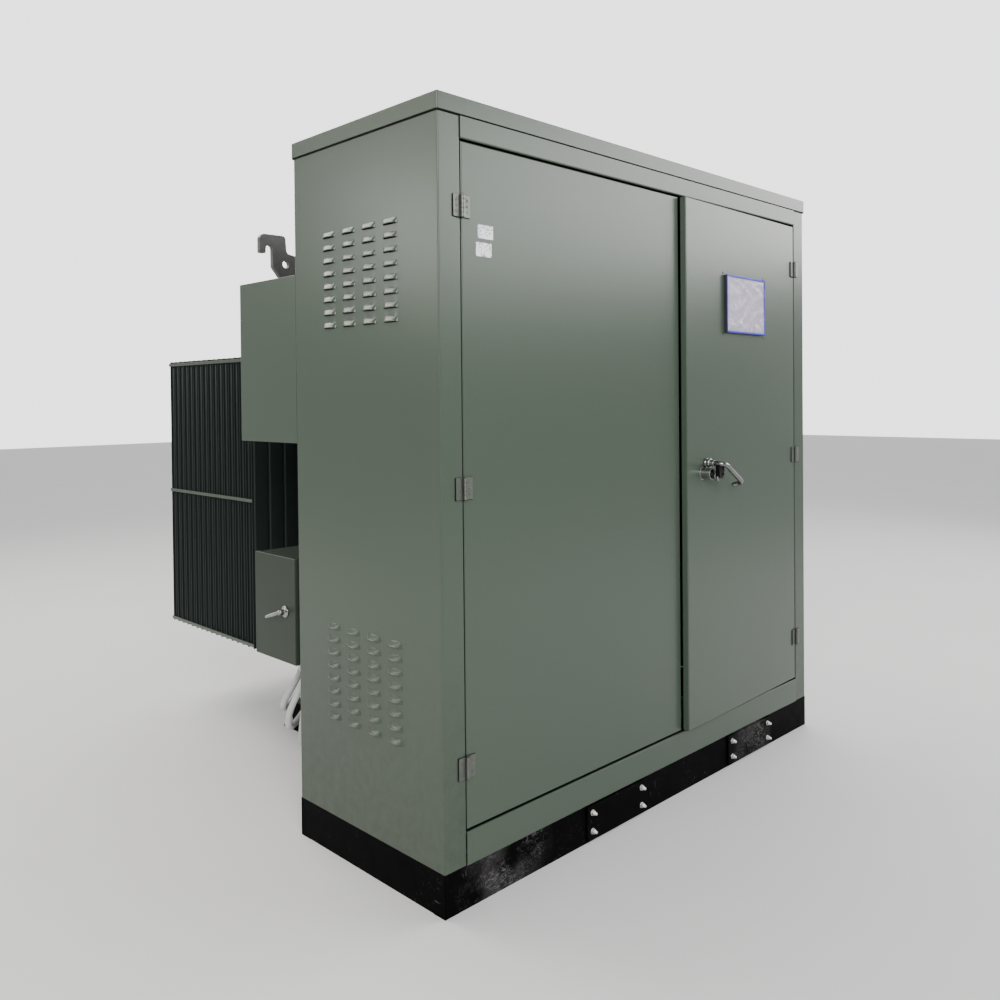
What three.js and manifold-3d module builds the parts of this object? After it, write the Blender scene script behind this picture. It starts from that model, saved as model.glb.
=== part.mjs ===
// Pad-mounted distribution transformer: a two-door steel cabinet at the front, an oil tank with
// panel radiators behind it, a small control box on the left and the gear that both hold.
// Millimetres. The layout is written from the cabinet's front left bottom corner (x to the right,
// y to the back, z up), and the whole unit is then moved so that the middle of the skid's cross
// channel, which rests on the pad, is the origin.

import * as THREE from 'three';
import { mergeVertices } from 'three/addons/utils/BufferGeometryUtils.js';
import Module from 'manifold-3d';

const wasm = await Module();
wasm.setup();

// Driving dimensions -------------------------------------------------------------------------
const GAP = 0.3;
const CABINET_WIDTH = 2000;
const CABINET_DEPTH = 700;
const BASE_HEIGHT = 120;
const ROOF_TOP = 2200;
const ROOF_LIP = 47;
const ROOF_OVERHANG = 5;
const SHEET = 3;
const CHANNEL_FLANGE = 48;
const CHANNEL_WALL = 6;

const POST_WIDTH = 79;
const JAMB_DEPTH = 28;
const HEADER_BOTTOM = 2090;
const SILL_TOP = 210;
const BODY_TOP = 2190;

const DOOR_TOP = 2086;
const DOOR_BOTTOM = 214;
const DOOR_DEPTH = 25;
const DOOR_SHEET = 2.5;
const DOOR_SPLIT = 1099.5;
const DOOR_GAP = 7;
const AJAR_DEG = 1.9;

const HINGE_HEIGHTS = [1907, 1145, 388];
const HINGE_HEIGHT = 60;
const HINGE_SEAM = 80.5;
const HINGE_OUT = 7.5;
const HINGE_BARREL_R = 6.5;
const HINGE_PIN_R = 3;
const HINGE_LEAF_REACH = 30;
const HINGE_LEAF_START = 5.5;
const HINGE_KNUCKLES = 5;

const LOUVRE_COLUMNS = [205, 305, 405, 505];
const LOUVRE_BANKS = [1608, 424];
const LOUVRE_ROWS = 8;
const LOUVRE_PITCH = 39;
const LOUVRE_SLOT = [46, 8];

const TANK_LEFT = 500;
const TANK_RIGHT = CABINET_WIDTH - TANK_LEFT;
const TANK_BACK = 1500;
const TANK_TOP = 1880;
const TANK_WALL = 6;
const FRONT_PLATE_Y = 691;
const FRONT_PLATE_BACK = FRONT_PLATE_Y + TANK_WALL;

const POCKET_BACK = 1052;
const POCKET_BOTTOM = 1251;
const POCKET_TOP = 1786;
const POCKET_WALL = 4;

const SKID_OUT = 477;
const SKID_BACK = 1603;
const ORIGIN_Y = 1115;

const RADIATOR_OUT = 345;
const RADIATOR_IN = 865;
const RADIATOR_FRONT = 1606;
const RADIATOR_PANELS = 17;
const RADIATOR_PITCH = 46.5;
const RADIATOR_PANEL = 12;
const RADIATOR_BOTTOM = 352;
const RADIATOR_TOP = 1572;

const HANDLE = { x: 1225, z: 1150, armOut: 67, armX: 132, armZ: -71, tail: 40 };
const LOCK_ROD_Y = [38, 44];

const CONTROL = { front: 723, back: 973, bottom: 534, top: 878, depth: 180, door: 18 };

const CONDUIT_R = 11;
const GLAND_R = 15;
const GLAND_LENGTH = 30;
const CONDUIT_END = TANK_LEFT - GLAND_LENGTH - GAP;
const CONDUIT_TOP = CONTROL.bottom - GLAND_LENGTH;
const CONDUIT_ROUTES = [
  [
    [112, 870, CONDUIT_TOP - GAP], [112, 870, 478], [100, 872, 450], [76, 876, 412], [52, 882, 372],
    [58, 898, 346], [100, 936, 338], [170, 1006, 338], [250, 1086, 342], [340, 1176, 347],
    [400, 1236, 350], [425, 1258, 351], [440, 1266, 352], [CONDUIT_END, 1266, 352],
  ],
  [
    [75, 775, CONDUIT_TOP - GAP], [75, 775, 484], [60, 777, 460], [38, 780, 420], [14, 786, 368],
    [16, 798, 326], [48, 830, 304], [110, 892, 296], [190, 972, 294], [280, 1062, 296],
    [360, 1142, 298], [405, 1188, 299], [440, 1206, 300], [CONDUIT_END, 1206, 300],
  ],
  [
    [45, 745, CONDUIT_TOP - GAP], [45, 745, 478], [46, 746, 430], [44, 748, 380], [38, 752, 320],
    [44, 764, 272], [84, 804, 246], [150, 870, 240], [230, 950, 239], [310, 1030, 240],
    [380, 1100, 242], [412, 1128, 244], [440, 1140, 245], [CONDUIT_END, 1140, 245],
  ],
];

// Helpers ------------------------------------------------------------------------------------
const unit = new THREE.Group();
unit.position.set(-CABINET_WIDTH / 2, -ORIGIN_Y, 0);

function paint(color, roughness, metalness) {
  return new THREE.MeshStandardMaterial({ color, roughness, metalness });
}

const GREEN = paint(0x66705f, 0.38, 0.1);
const RADIATOR_GREEN = paint(0x252c28, 0.5, 0.1);
const BLACK = paint(0x101113, 0.6, 0.1);
const STEEL = paint(0x6f6f6c, 0.45, 0.8);
const ZINC = paint(0xb8b9b6, 0.35, 0.9);
const CHROME = paint(0xd6d8da, 0.15, 1);
const EPOXY = paint(0x7b3b2a, 0.4, 0);
const RUBBER = paint(0x141414, 0.8, 0);
const COPPER = paint(0xb4693f, 0.35, 1);
const TINNED = paint(0xc2c4c4, 0.3, 1);
const CONDUIT = paint(0xc9cbc8, 0.5, 0.2);
const TRANSFORMER_STEEL = paint(0x5a5c60, 0.5, 0.9);
const PAPER = paint(0xa98a5c, 0.8, 0);
const YELLOW = paint(0xc99a1c, 0.5, 0);

function add(name, geometry, material, parent = unit) {
  const mesh = new THREE.Mesh(geometry, material);
  mesh.name = name;
  parent.add(mesh);
  return mesh;
}

function block(x0, x1, y0, y1, z0, z1) {
  const box = new THREE.BoxGeometry(x1 - x0, y1 - y0, z1 - z0);
  return box.translate((x0 + x1) / 2, (y0 + y1) / 2, (z0 + z1) / 2);
}

function toSolid(geometry) {
  const bare = geometry.clone();
  bare.deleteAttribute('normal');
  bare.deleteAttribute('uv');
  const merged = mergeVertices(bare, 1e-4);
  const mesh = new wasm.Mesh({
    numProp: 3,
    vertProperties: new Float32Array(merged.attributes.position.array),
    triVerts: new Uint32Array(merged.index.array),
  });
  return new wasm.Manifold(mesh);
}

function toGeometry(solid) {
  const mesh = solid.getMesh();
  const geometry = new THREE.BufferGeometry();
  geometry.setAttribute('position', new THREE.BufferAttribute(mesh.vertProperties, 3));
  geometry.setIndex(new THREE.BufferAttribute(mesh.triVerts, 1));
  geometry.computeVertexNormals();
  return geometry;
}

function join(pieces) {
  let solid = toSolid(pieces[0]);
  for (const piece of pieces.slice(1)) {
    solid = solid.add(toSolid(piece));
  }
  return toGeometry(solid);
}

function cut(piece, tools) {
  let solid = toSolid(piece);
  for (const tool of tools) {
    solid = solid.subtract(toSolid(tool));
  }
  return toGeometry(solid);
}

// A cylinder along a named axis, from one coordinate to another on that axis.
function rod(axis, from, to, a, b, radius, sides = 12) {
  const geometry = new THREE.CylinderGeometry(radius, radius, to - from, sides);
  const middle = (from + to) / 2;
  if (axis === 'x') {
    return geometry.rotateZ(-Math.PI / 2).translate(middle, a, b);
  }
  if (axis === 'y') {
    return geometry.translate(a, middle, b);
  }
  return geometry.rotateX(Math.PI / 2).translate(a, b, middle);
}

// A body of revolution about a line along y: the profile's points are [radius, distance out of
// the front plate], and x and z place the line.
function turned(profile, x, z, faceY, sides = 12) {
  const points = profile.map(([radius, out]) => new THREE.Vector2(radius, -out));
  const geometry = new THREE.LatheGeometry(points, sides);
  return geometry.translate(x, faceY, z);
}

function polygon(points, holes = []) {
  const shape = new THREE.Shape(points.map(([a, b]) => new THREE.Vector2(a, b)));
  for (const hole of holes) {
    shape.holes.push(new THREE.Path(hole.map(([a, b]) => new THREE.Vector2(a, b))));
  }
  return shape;
}

// An outline in x and y, drawn up from z0 to z1.
function upright(points, z0, z1) {
  const settings = { depth: z1 - z0, bevelEnabled: false };
  return new THREE.ExtrudeGeometry(polygon(points), settings).translate(0, 0, z0);
}

// An outline in x and z, drawn back from y0 to y1.
function plateXZ(points, holes, y0, y1) {
  const settings = { depth: y1 - y0, bevelEnabled: false };
  const flat = new THREE.ExtrudeGeometry(polygon(points, holes), settings);
  return flat.rotateX(Math.PI / 2).translate(0, y1, 0);
}

function circlePoints(x, z, radius, sides) {
  const points = [];
  for (let i = 0; i < sides; i += 1) {
    const angle = (2 * Math.PI * i) / sides;
    points.push([x + radius * Math.cos(angle), z + radius * Math.sin(angle)]);
  }
  return points;
}

function mirrored(geometry) {
  const copy = geometry.clone();
  copy.scale(-1, 1, 1).translate(CABINET_WIDTH, 0, 0);
  const corners = copy.index.array;
  for (let i = 0; i < corners.length; i += 3) {
    [corners[i], corners[i + 1]] = [corners[i + 1], corners[i]];
  }
  copy.computeVertexNormals();
  return copy;
}

// A channel along x (web towards -y or +y) or along y (web towards -x or +x).
function channelAlongX(x0, x1, webY, flangeY) {
  const low = Math.min(webY, flangeY);
  const high = Math.max(webY, flangeY);
  const webLow = webY < flangeY ? webY : webY - CHANNEL_WALL;
  return [
    block(x0, x1, webLow, webLow + CHANNEL_WALL, 0, BASE_HEIGHT),
    block(x0, x1, low, high, 0, CHANNEL_WALL),
    block(x0, x1, low, high, BASE_HEIGHT - CHANNEL_WALL, BASE_HEIGHT),
  ];
}

function channelAlongY(y0, y1, webX, flangeX) {
  const low = Math.min(webX, flangeX);
  const high = Math.max(webX, flangeX);
  const webLow = webX < flangeX ? webX : webX - CHANNEL_WALL;
  return [
    block(webLow, webLow + CHANNEL_WALL, y0, y1, 0, BASE_HEIGHT),
    block(low, high, y0, y1, 0, CHANNEL_WALL),
    block(low, high, y0, y1, BASE_HEIGHT - CHANNEL_WALL, BASE_HEIGHT),
  ];
}

// Cabinet ------------------------------------------------------------------------------------
const SIDE_BOTTOM = BASE_HEIGHT + GAP;

function baseFrame() {
  const back = CABINET_DEPTH;
  return join([
    ...channelAlongX(0, CABINET_WIDTH, 0, CHANNEL_FLANGE),
    ...channelAlongX(0, CABINET_WIDTH, back, back - CHANNEL_FLANGE),
    ...channelAlongY(1, back - 1, 0, CHANNEL_FLANGE),
    ...channelAlongY(1, back - 1, CABINET_WIDTH, CABINET_WIDTH - CHANNEL_FLANGE),
  ]);
}

function coverPlate(name, x0, x1) {
  add(name, block(x0, x1, -CHANNEL_WALL - GAP, -GAP, 6, 114), BLACK);
}

// One sheet, bent into the side wall, the door post with its jamb, and a narrow rear return.
function sidePanel() {
  const postInside = POST_WIDTH - SHEET;
  const returnFront = CABINET_DEPTH - SHEET + GAP;
  const bent = upright([
    [0, 0], [POST_WIDTH, 0], [POST_WIDTH, JAMB_DEPTH], [postInside, JAMB_DEPTH], [postInside, SHEET],
    [SHEET, SHEET], [SHEET, returnFront], [30, returnFront], [30, CABINET_DEPTH], [0, CABINET_DEPTH],
  ], SIDE_BOTTOM, BODY_TOP);
  const [slotWidth, slotHeight] = LOUVRE_SLOT;
  const slots = [];
  for (const bottom of LOUVRE_BANKS) {
    for (const y of LOUVRE_COLUMNS) {
      for (let row = 0; row < LOUVRE_ROWS; row += 1) {
        const z = bottom + row * LOUVRE_PITCH;
        slots.push(block(-1, SHEET + 1, y - slotWidth / 2, y + slotWidth / 2,
          z - slotHeight / 2, z + slotHeight / 2));
      }
    }
  }
  return cut(bent, slots);
}

function frontRails() {
  const left = POST_WIDTH + GAP;
  const right = CABINET_WIDTH - left;
  const header = [
    block(left, right, 0, SHEET, HEADER_BOTTOM, BODY_TOP),
    block(left, right, 0, 40, BODY_TOP - SHEET, BODY_TOP),
  ];
  add('header_rail', join(header), GREEN);
  const sill = [
    block(left, right, 0, SHEET, SIDE_BOTTOM, SILL_TOP),
    block(left, right, 0, 40, SIDE_BOTTOM, SIDE_BOTTOM + SHEET),
  ];
  add('sill_rail', join(sill), GREEN);
}

function roofCover() {
  const low = -ROOF_OVERHANG;
  const right = CABINET_WIDTH + ROOF_OVERHANG;
  const back = CABINET_DEPTH + ROOF_OVERHANG;
  const tray = block(low, right, low, back, ROOF_TOP - ROOF_LIP, ROOF_TOP);
  const hollow = block(low + SHEET, right - SHEET, low + SHEET, back - SHEET,
    ROOF_TOP - ROOF_LIP - 1, ROOF_TOP - SHEET);
  add('roof_cover', cut(tray, [hollow]), GREEN);
}

function barrier() {
  const x = DOOR_SPLIT - SHEET / 2;
  add('compartment_barrier', block(x, x + SHEET, 50, FRONT_PLATE_Y - GAP, 124, 2150), ZINC);
}

// Doors --------------------------------------------------------------------------------------
const SEGMENT = HINGE_HEIGHT / HINGE_KNUCKLES;

// One hinge leaf: a plate, and knuckles at every other place, on the side that reach points to.
function hingeLeaf(seam, reach, z, firstKnuckle, reachIntoDoor) {
  const pieces = [];
  const start = seam + reach * HINGE_LEAF_START;
  const end = seam + reach * HINGE_LEAF_REACH;
  const back = reachIntoDoor ? 1 : -GAP;
  const low = z - HINGE_HEIGHT / 2;
  const plateX = [Math.min(start, end), Math.max(start, end)];
  pieces.push(block(plateX[0], plateX[1], -SHEET, back, low, low + HINGE_HEIGHT));
  for (let k = firstKnuckle; k < HINGE_KNUCKLES; k += 2) {
    const from = low + k * SEGMENT + GAP / 2;
    const to = low + (k + 1) * SEGMENT - GAP / 2;
    const tab = [Math.min(seam, start + reach), Math.max(seam, start + reach)];
    pieces.push(rod('z', from, to, seam, -HINGE_OUT, HINGE_BARREL_R, 10));
    pieces.push(block(tab[0], tab[1], -SHEET, -1.2, from, to));
  }
  return pieces;
}

function frameHinge(seam, reach, z) {
  const reachUp = HINGE_HEIGHT / 2 + 2;
  const pin = rod('z', z - reachUp, z + reachUp, seam, -HINGE_OUT, HINGE_PIN_R, 8);
  return join([...hingeLeaf(seam, reach, z, 0, false), pin]);
}

function doorPan(x0, x1) {
  const inner = DOOR_SHEET;
  const outside = block(x0, x1, 0, DOOR_DEPTH, DOOR_BOTTOM, DOOR_TOP);
  const hollow = block(x0 + inner, x1 - inner, inner, DOOR_DEPTH + 1, DOOR_BOTTOM + inner, DOOR_TOP - inner);
  return [outside, hollow];
}

function door(x0, x1, seam, reach, extraHoles) {
  const [outside, hollow] = doorPan(x0, x1);
  let solid = toSolid(outside).subtract(toSolid(hollow));
  for (const z of HINGE_HEIGHTS) {
    for (const piece of hingeLeaf(seam, reach, z, 1, true)) {
      solid = solid.add(toSolid(piece));
    }
    const bore = rod('z', z - HINGE_HEIGHT, z + HINGE_HEIGHT, seam, -HINGE_OUT, HINGE_PIN_R + 0.5, 8);
    solid = solid.subtract(toSolid(bore));
  }
  for (const hole of extraHoles) {
    solid = solid.subtract(toSolid(hole));
  }
  return toGeometry(solid);
}

const RIGHT_SEAM = CABINET_WIDTH - HINGE_SEAM;

// The right door stands a little ajar: everything on it hangs in a group turned about its hinges.
function ajarGroup() {
  const turn = new THREE.Group();
  turn.position.set(RIGHT_SEAM, -HINGE_OUT, 0);
  turn.rotation.z = THREE.MathUtils.degToRad(AJAR_DEG);
  const back = new THREE.Group();
  back.position.set(-RIGHT_SEAM, HINGE_OUT, 0);
  turn.add(back);
  unit.add(turn);
  return back;
}

function tubeAlong(points, radius, sides, steps) {
  const path = new THREE.CatmullRomCurve3(points.map((p) => new THREE.Vector3(...p)), false, 'centripetal');
  const section = polygon(circlePoints(0, 0, radius, sides));
  return new THREE.ExtrudeGeometry(section, { steps, extrudePath: path, bevelEnabled: false });
}

function doorHandle() {
  const { x, z, armOut, armX, armZ, tail } = HANDLE;
  const bar = tubeAlong([
    [x, 0, z],
    [x, -armOut * 0.55, z],
    [x + 4, -armOut * 0.85, z - 1],
    [x + 14, -armOut, z - 3],
    [x + 28, -armOut - 2, z - 9],
    [x + armX, -armOut, z + armZ],
    [x + armX + 6, -armOut + 8, z + armZ - 6],
    [x + armX - 4, -armOut + tail, z + armZ - 17],
  ], 8.5, 8, 24);
  return join([
    bar,
    rod('y', -34, -GAP, x, z, 13.5),
    rod('y', -1, 36, x, z, 8),
    rod('y', 28, 34, x, z, 36, 20),
    rod('y', 33, 37.5, x, z + 24, 5, 8),
    rod('y', 33, 37.5, x, z - 24, 5, 8),
    block(x - 8, x + 26, -60, -50, z - 52, z - 2),
  ]);
}

function shroud() {
  const { x, z } = HANDLE;
  const outer = rod('y', -40, -GAP, x - 22, z - 36, 21, 20);
  const inner = rod('y', -41, -8, x - 22, z - 36, 17, 20);
  return cut(outer, [inner]);
}

function doors() {
  const leftEnd = DOOR_SPLIT - DOOR_GAP / 2;
  const leftDoor = door(HINGE_SEAM + 1.5, leftEnd, HINGE_SEAM, 1, []);
  add('left_door', leftDoor, GREEN);
  const rightStart = DOOR_SPLIT + DOOR_GAP / 2;
  const shaftHole = rod('y', -2, 5, HANDLE.x, HANDLE.z, 9);
  const onDoor = ajarGroup();
  const rightDoor = door(rightStart, RIGHT_SEAM - 1.5, RIGHT_SEAM, -1, [shaftHole]);
  add('right_door', rightDoor, GREEN, onDoor);
  add('door_handle', doorHandle(), CHROME, onDoor);
  add('bolt_shroud', shroud(), ZINC, onDoor);
  const [rodFront, rodBack] = LOCK_ROD_Y;
  const x = HANDLE.x;
  add('lock_rod_upper', block(x - 9, x + 9, rodFront, rodBack, HANDLE.z + 12, 2080), ZINC, onDoor);
  add('lock_rod_lower', block(x - 9, x + 9, rodFront, rodBack, 220, HANDLE.z - 12), ZINC, onDoor);
  const names = ['upper', 'middle', 'lower'];
  HINGE_HEIGHTS.forEach((height, i) => {
    add(`left_hinge_${names[i]}`, frameHinge(HINGE_SEAM, -1, height), STEEL);
    add(`right_hinge_${names[i]}`, frameHinge(RIGHT_SEAM, 1, height), STEEL);
  });
}

// Tank ---------------------------------------------------------------------------------------
const HV_BUSHINGS = [580, 750, 920];
const HV_BUSHING_Z = 1400;
const LV_BUSHINGS = [1250, 1400, 1550, 1700];
const LV_BUSHING_Z = 1400;
const FUSES = [180, 290, 400];
const FUSE_Z = 1500;
const SWITCH = { x: 700, z: 1660 };
const TAP = { x: 450, z: 1660 };
const LEVEL_GAUGE = { x: 900, z: 1700 };
const RELIEF_VALVE = { x: 1000, z: 1800 };
const DRAIN = { x: 640, z: 240 };

function frontPlate() {
  const holes = [];
  for (const x of HV_BUSHINGS) {
    holes.push(circlePoints(x, HV_BUSHING_Z, 42, 12));
  }
  for (const x of LV_BUSHINGS) {
    holes.push(circlePoints(x, LV_BUSHING_Z, 42, 12));
  }
  for (const x of FUSES) {
    holes.push(circlePoints(x, FUSE_Z, 26, 12));
  }
  const side = SHEET + 0.5;
  const outline = [
    [side, 125],
    [CABINET_WIDTH - side, 125],
    [CABINET_WIDTH - side, 2186],
    [side, 2186],
  ];
  add('tank_front_plate', plateXZ(outline, holes, FRONT_PLATE_Y, FRONT_PLATE_BACK), GREEN);
}

function tank() {
  const front = FRONT_PLATE_BACK + GAP;
  const bottom = BASE_HEIGHT + GAP;
  const wall = TANK_WALL;
  const wrapper = upright([
    [TANK_LEFT, front],
    [TANK_LEFT + wall, front],
    [TANK_LEFT + wall, TANK_BACK - wall],
    [TANK_RIGHT - wall, TANK_BACK - wall],
    [TANK_RIGHT - wall, front],
    [TANK_RIGHT, front],
    [TANK_RIGHT, TANK_BACK],
    [TANK_LEFT, TANK_BACK],
  ], bottom, TANK_TOP);
  const window = block(TANK_LEFT - 50, TANK_RIGHT + 50, 706, POCKET_BACK - 8, POCKET_BOTTOM + 8, POCKET_TOP - 8);
  const glands = CONDUIT_ROUTES.map((route) => {
    const [, y, z] = route[route.length - 1];
    return rod('x', TANK_LEFT - GLAND_LENGTH, TANK_LEFT + 1, y, z, GLAND_R);
  });
  add('tank_wrapper', join([cut(wrapper, [window]), ...glands]), GREEN);
  const inside = wall + GAP;
  add('tank_floor', block(TANK_LEFT + inside, TANK_RIGHT - inside, front, TANK_BACK - inside,
    bottom, bottom + 10), GREEN);
  const coverBottom = TANK_TOP + GAP;
  const cover = [
    block(TANK_LEFT - 14, TANK_RIGHT + 14, front, TANK_BACK + 14, coverBottom, coverBottom + 8),
    block(800, 1200, 980, 1280, coverBottom + 7, coverBottom + 22),
  ];
  add('tank_cover', join(cover), GREEN);
}

function pocket() {
  const end = TANK_LEFT - GAP;
  const front = CABINET_DEPTH + GAP;
  const t = POCKET_WALL;
  const outside = block(0, end, front, POCKET_BACK, POCKET_BOTTOM, POCKET_TOP);
  const hollow = block(t, end + 1, front - 1, POCKET_BACK - t, POCKET_BOTTOM + t, POCKET_TOP - t);
  return cut(outside, [hollow]);
}

function skid() {
  const web = SKID_OUT + CHANNEL_FLANGE;
  const y0 = CABINET_DEPTH + 3;
  const right = CABINET_WIDTH - web;
  const half = CHANNEL_FLANGE / 2;
  return join([
    ...channelAlongY(y0, SKID_BACK, web, SKID_OUT),
    ...channelAlongY(y0, SKID_BACK, right, CABINET_WIDTH - SKID_OUT),
    ...channelAlongX(web - 1, right + 1, y0, y0 + CHANNEL_FLANGE),
    ...channelAlongX(web - 1, right + 1, ORIGIN_Y - half, ORIGIN_Y + half),
    ...channelAlongX(web - 1, right + 1, TANK_BACK, TANK_BACK - CHANNEL_FLANGE),
  ]);
}

// The hook's lower edge slopes in to the tank wall; a front hook stands on the pocket's top.
function liftingHook(y, lowest) {
  const wallX = TANK_LEFT - GAP;
  const outline = [
    [258, 2035], [250, 2022], [250, 1961], [274, 1961], [275, 1981], [281, 1990], [291, 1993],
    [301, 1988], [305, 1973], [305, 1910], [wallX, 1660], [wallX, 1878],
    [484, 1878], [484, 1948], [405, 1961], [374, 1966], [362, 1976], [361, 2022], [350, 2035],
  ];
  const plate = plateXZ(outline, [circlePoints(362, 1925, 15, 12)], y, y + 20);
  return cut(plate, [block(0, TANK_LEFT, y - 1, y + 21, lowest - 400, lowest)]);
}

function radiator() {
  const back = RADIATOR_FRONT + (RADIATOR_PANELS - 1) * RADIATOR_PITCH + RADIATOR_PANEL;
  const middle = (RADIATOR_OUT + RADIATOR_IN) / 2;
  const pieces = [];
  for (const z of [RADIATOR_TOP - 70, RADIATOR_BOTTOM + 70]) {
    pieces.push(block(middle - 42, middle + 42, TANK_BACK + GAP, back - 2, z - 42, z + 42));
    pieces.push(block(middle - 62, middle + 62, TANK_BACK + GAP, TANK_BACK + 16, z - 62, z + 62));
    pieces.push(block(middle - 62, middle + 62, TANK_BACK + 40, TANK_BACK + 54, z - 62, z + 62));
  }
  for (let i = 0; i < RADIATOR_PANELS; i += 1) {
    const y = RADIATOR_FRONT + i * RADIATOR_PITCH;
    pieces.push(block(RADIATOR_OUT, RADIATOR_IN, y, y + RADIATOR_PANEL, RADIATOR_BOTTOM, RADIATOR_TOP));
  }
  return join(pieces);
}

function core() {
  const y0 = 1045;
  const y1 = 1185;
  const limbs = [650, 930, 1210].map((x) => block(x, x + 140, y0, y1, 300, 1150));
  const yokes = [300, 1010].map((z) => block(650, 1350, y0, y1, z, z + 140));
  return join([...limbs, ...yokes]);
}

function coil(x) {
  const profile = [[101, 450], [138, 450], [138, 1000], [101, 1000], [101, 450]];
  const points = profile.map(([radius, height]) => new THREE.Vector2(radius, height));
  return new THREE.LatheGeometry(points, 24).rotateX(Math.PI / 2).translate(x, 1115, 0);
}

function hvBushing(x) {
  return turned([
    [0, 130], [24, 130], [27, 128], [36, 30], [44, 22], [62, 22], [62, GAP], [40, GAP],
    [40, -30], [30, -70], [0, -70],
  ], x, HV_BUSHING_Z, FRONT_PLATE_Y);
}

function lvBushing(x) {
  const body = turned([
    [0, 120], [30, 120], [36, 110], [36, 60], [46, 50], [46, 30], [62, 24], [62, GAP],
    [40, GAP], [40, -60], [0, -60],
  ], x, LV_BUSHING_Z, FRONT_PLATE_Y, 10);
  const tip = FRONT_PLATE_Y - 118;
  const spade = block(x - 38, x + 38, tip - 110, tip + 10, LV_BUSHING_Z - 6, LV_BUSHING_Z + 6);
  return join([body, spade]);
}

function fuse(x) {
  return turned([
    [0, 150], [14, 150], [14, 138], [9, 134], [9, 120], [22, 112], [22, 60], [20, 56],
    [20, -180], [0, -180],
  ], x, FUSE_Z, FRONT_PLATE_Y);
}

function hookStickHandle(x, z, out, reach) {
  return join([
    turned([[0, out], [16, out], [22, out - 8], [22, 8], [30, 8], [30, GAP], [0, GAP]], x, z, FRONT_PLATE_Y),
    block(x - 7, x + 7, FRONT_PLATE_Y - out, FRONT_PLATE_Y - out + 10, z - 24, z + reach),
    cut(rod('y', FRONT_PLATE_Y - out, FRONT_PLATE_Y - out + 10, x, z + reach + 14, 22, 12),
      [rod('y', FRONT_PLATE_Y - out - 1, FRONT_PLATE_Y - out + 11, x, z + reach + 14, 13, 12)]),
  ]);
}

function drainValve() {
  const { x, z } = DRAIN;
  const face = FRONT_PLATE_Y;
  return join([
    rod('y', face - 80, face - GAP, x, z, 18),
    rod('y', face - 14, face - GAP, x, z, 34, 16),
    rod('y', face - 130, face - 70, x, z, 24, 6),
    rod('z', z, z + 46, x, face - 96, 14),
  ]);
}

function drainWheel() {
  const { x, z } = DRAIN;
  const y = FRONT_PLATE_Y - 96;
  const low = z + 46 + GAP;
  const rim = cut(rod('z', low + 24, low + 34, x, y, 36, 16), [rod('z', low + 20, low + 40, x, y, 27, 16)]);
  return join([
    rod('z', low, low + 36, x, y, 8, 8),
    rim,
    block(x - 31, x + 31, y - 4, y + 4, low + 26, low + 32),
  ]);
}

function gear() {
  HV_BUSHINGS.forEach((x, i) => add(`hv_bushing_${i + 1}`, hvBushing(x), EPOXY));
  LV_BUSHINGS.forEach((x, i) => add(`lv_bushing_${i}`, lvBushing(x), TINNED));
  FUSES.forEach((x, i) => add(`bayonet_fuse_${i + 1}`, fuse(x), RUBBER));
  add('switch_handle', hookStickHandle(SWITCH.x, SWITCH.z, 60, 58), YELLOW);
  add('tap_changer_handle', hookStickHandle(TAP.x, TAP.z, 44, 30), BLACK);
  add('drain_valve', drainValve(), COPPER);
  add('drain_valve_wheel', drainWheel(), STEEL);
  const gaugeProfile = [[0, 34], [40, 34], [46, 30], [46, 12], [56, 12], [56, GAP], [0, GAP]];
  add('oil_level_gauge', turned(gaugeProfile, LEVEL_GAUGE.x, LEVEL_GAUGE.z, FRONT_PLATE_Y, 16), ZINC);
  const reliefProfile = [[0, 70], [10, 70], [10, 48], [20, 46], [20, 12], [26, 12], [26, GAP], [0, GAP]];
  add('pressure_relief_valve',
    turned(reliefProfile, RELIEF_VALVE.x, RELIEF_VALVE.z, FRONT_PLATE_Y), COPPER);
}

// Control box --------------------------------------------------------------------------------
function controlBox() {
  const { front, back, bottom, top, depth, door: doorThick } = CONTROL;
  const wall = 2;
  const face = doorThick + 2 + GAP;
  const body = block(face, depth, front + 2, back - 2, bottom + 2, top - 2);
  const hollow = block(face - 1, depth - wall, front + 2 + wall, back - 2 - wall,
    bottom + 2 + wall, top - 2 - wall);
  const axis = { x: doorThick + 2, y: back + 3 };
  const extras = [];
  for (const z of [bottom + 50, top - 90]) {
    extras.push(rod('z', z, z + 40, axis.x, axis.y, 3, 8));
    extras.push(block(axis.x, axis.x + 6, back - 4, axis.y + 1, z + 2, z + 38));
  }
  extras.push(block(60, 120, CABINET_DEPTH + GAP, front + 4, bottom + 20, top - 20));
  extras.push(block(12, 36, CABINET_DEPTH + 6, CABINET_DEPTH + 10, top - 30, POCKET_BOTTOM - GAP));
  extras.push(block(32, 36, CABINET_DEPTH + 6, front + 4, top - 30, top - 4));
  for (const [[x, y]] of CONDUIT_ROUTES) {
    extras.push(rod('z', bottom - GLAND_LENGTH, bottom + 3, x, y, GLAND_R));
  }
  add('control_box', join([cut(body, [hollow]), ...extras]), GREEN);
  const outside = block(0, doorThick, front, back, bottom, top);
  const recess = block(2, doorThick + 1, front + 2, back - 2, bottom + 2, top - 2);
  add('control_box_door', cut(outside, [recess]), GREEN);
  const y = 782;
  const z = 701;
  const lever = block(-32, -24, -26, 78, -7, 7).rotateX(THREE.MathUtils.degToRad(-18));
  lever.translate(0, y, z);
  add('control_box_handle', join([
    rod('x', -9, -GAP, y, z, 19, 16),
    rod('x', -26, -GAP, y, z, 9),
    lever,
  ]), CHROME);
}

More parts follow.
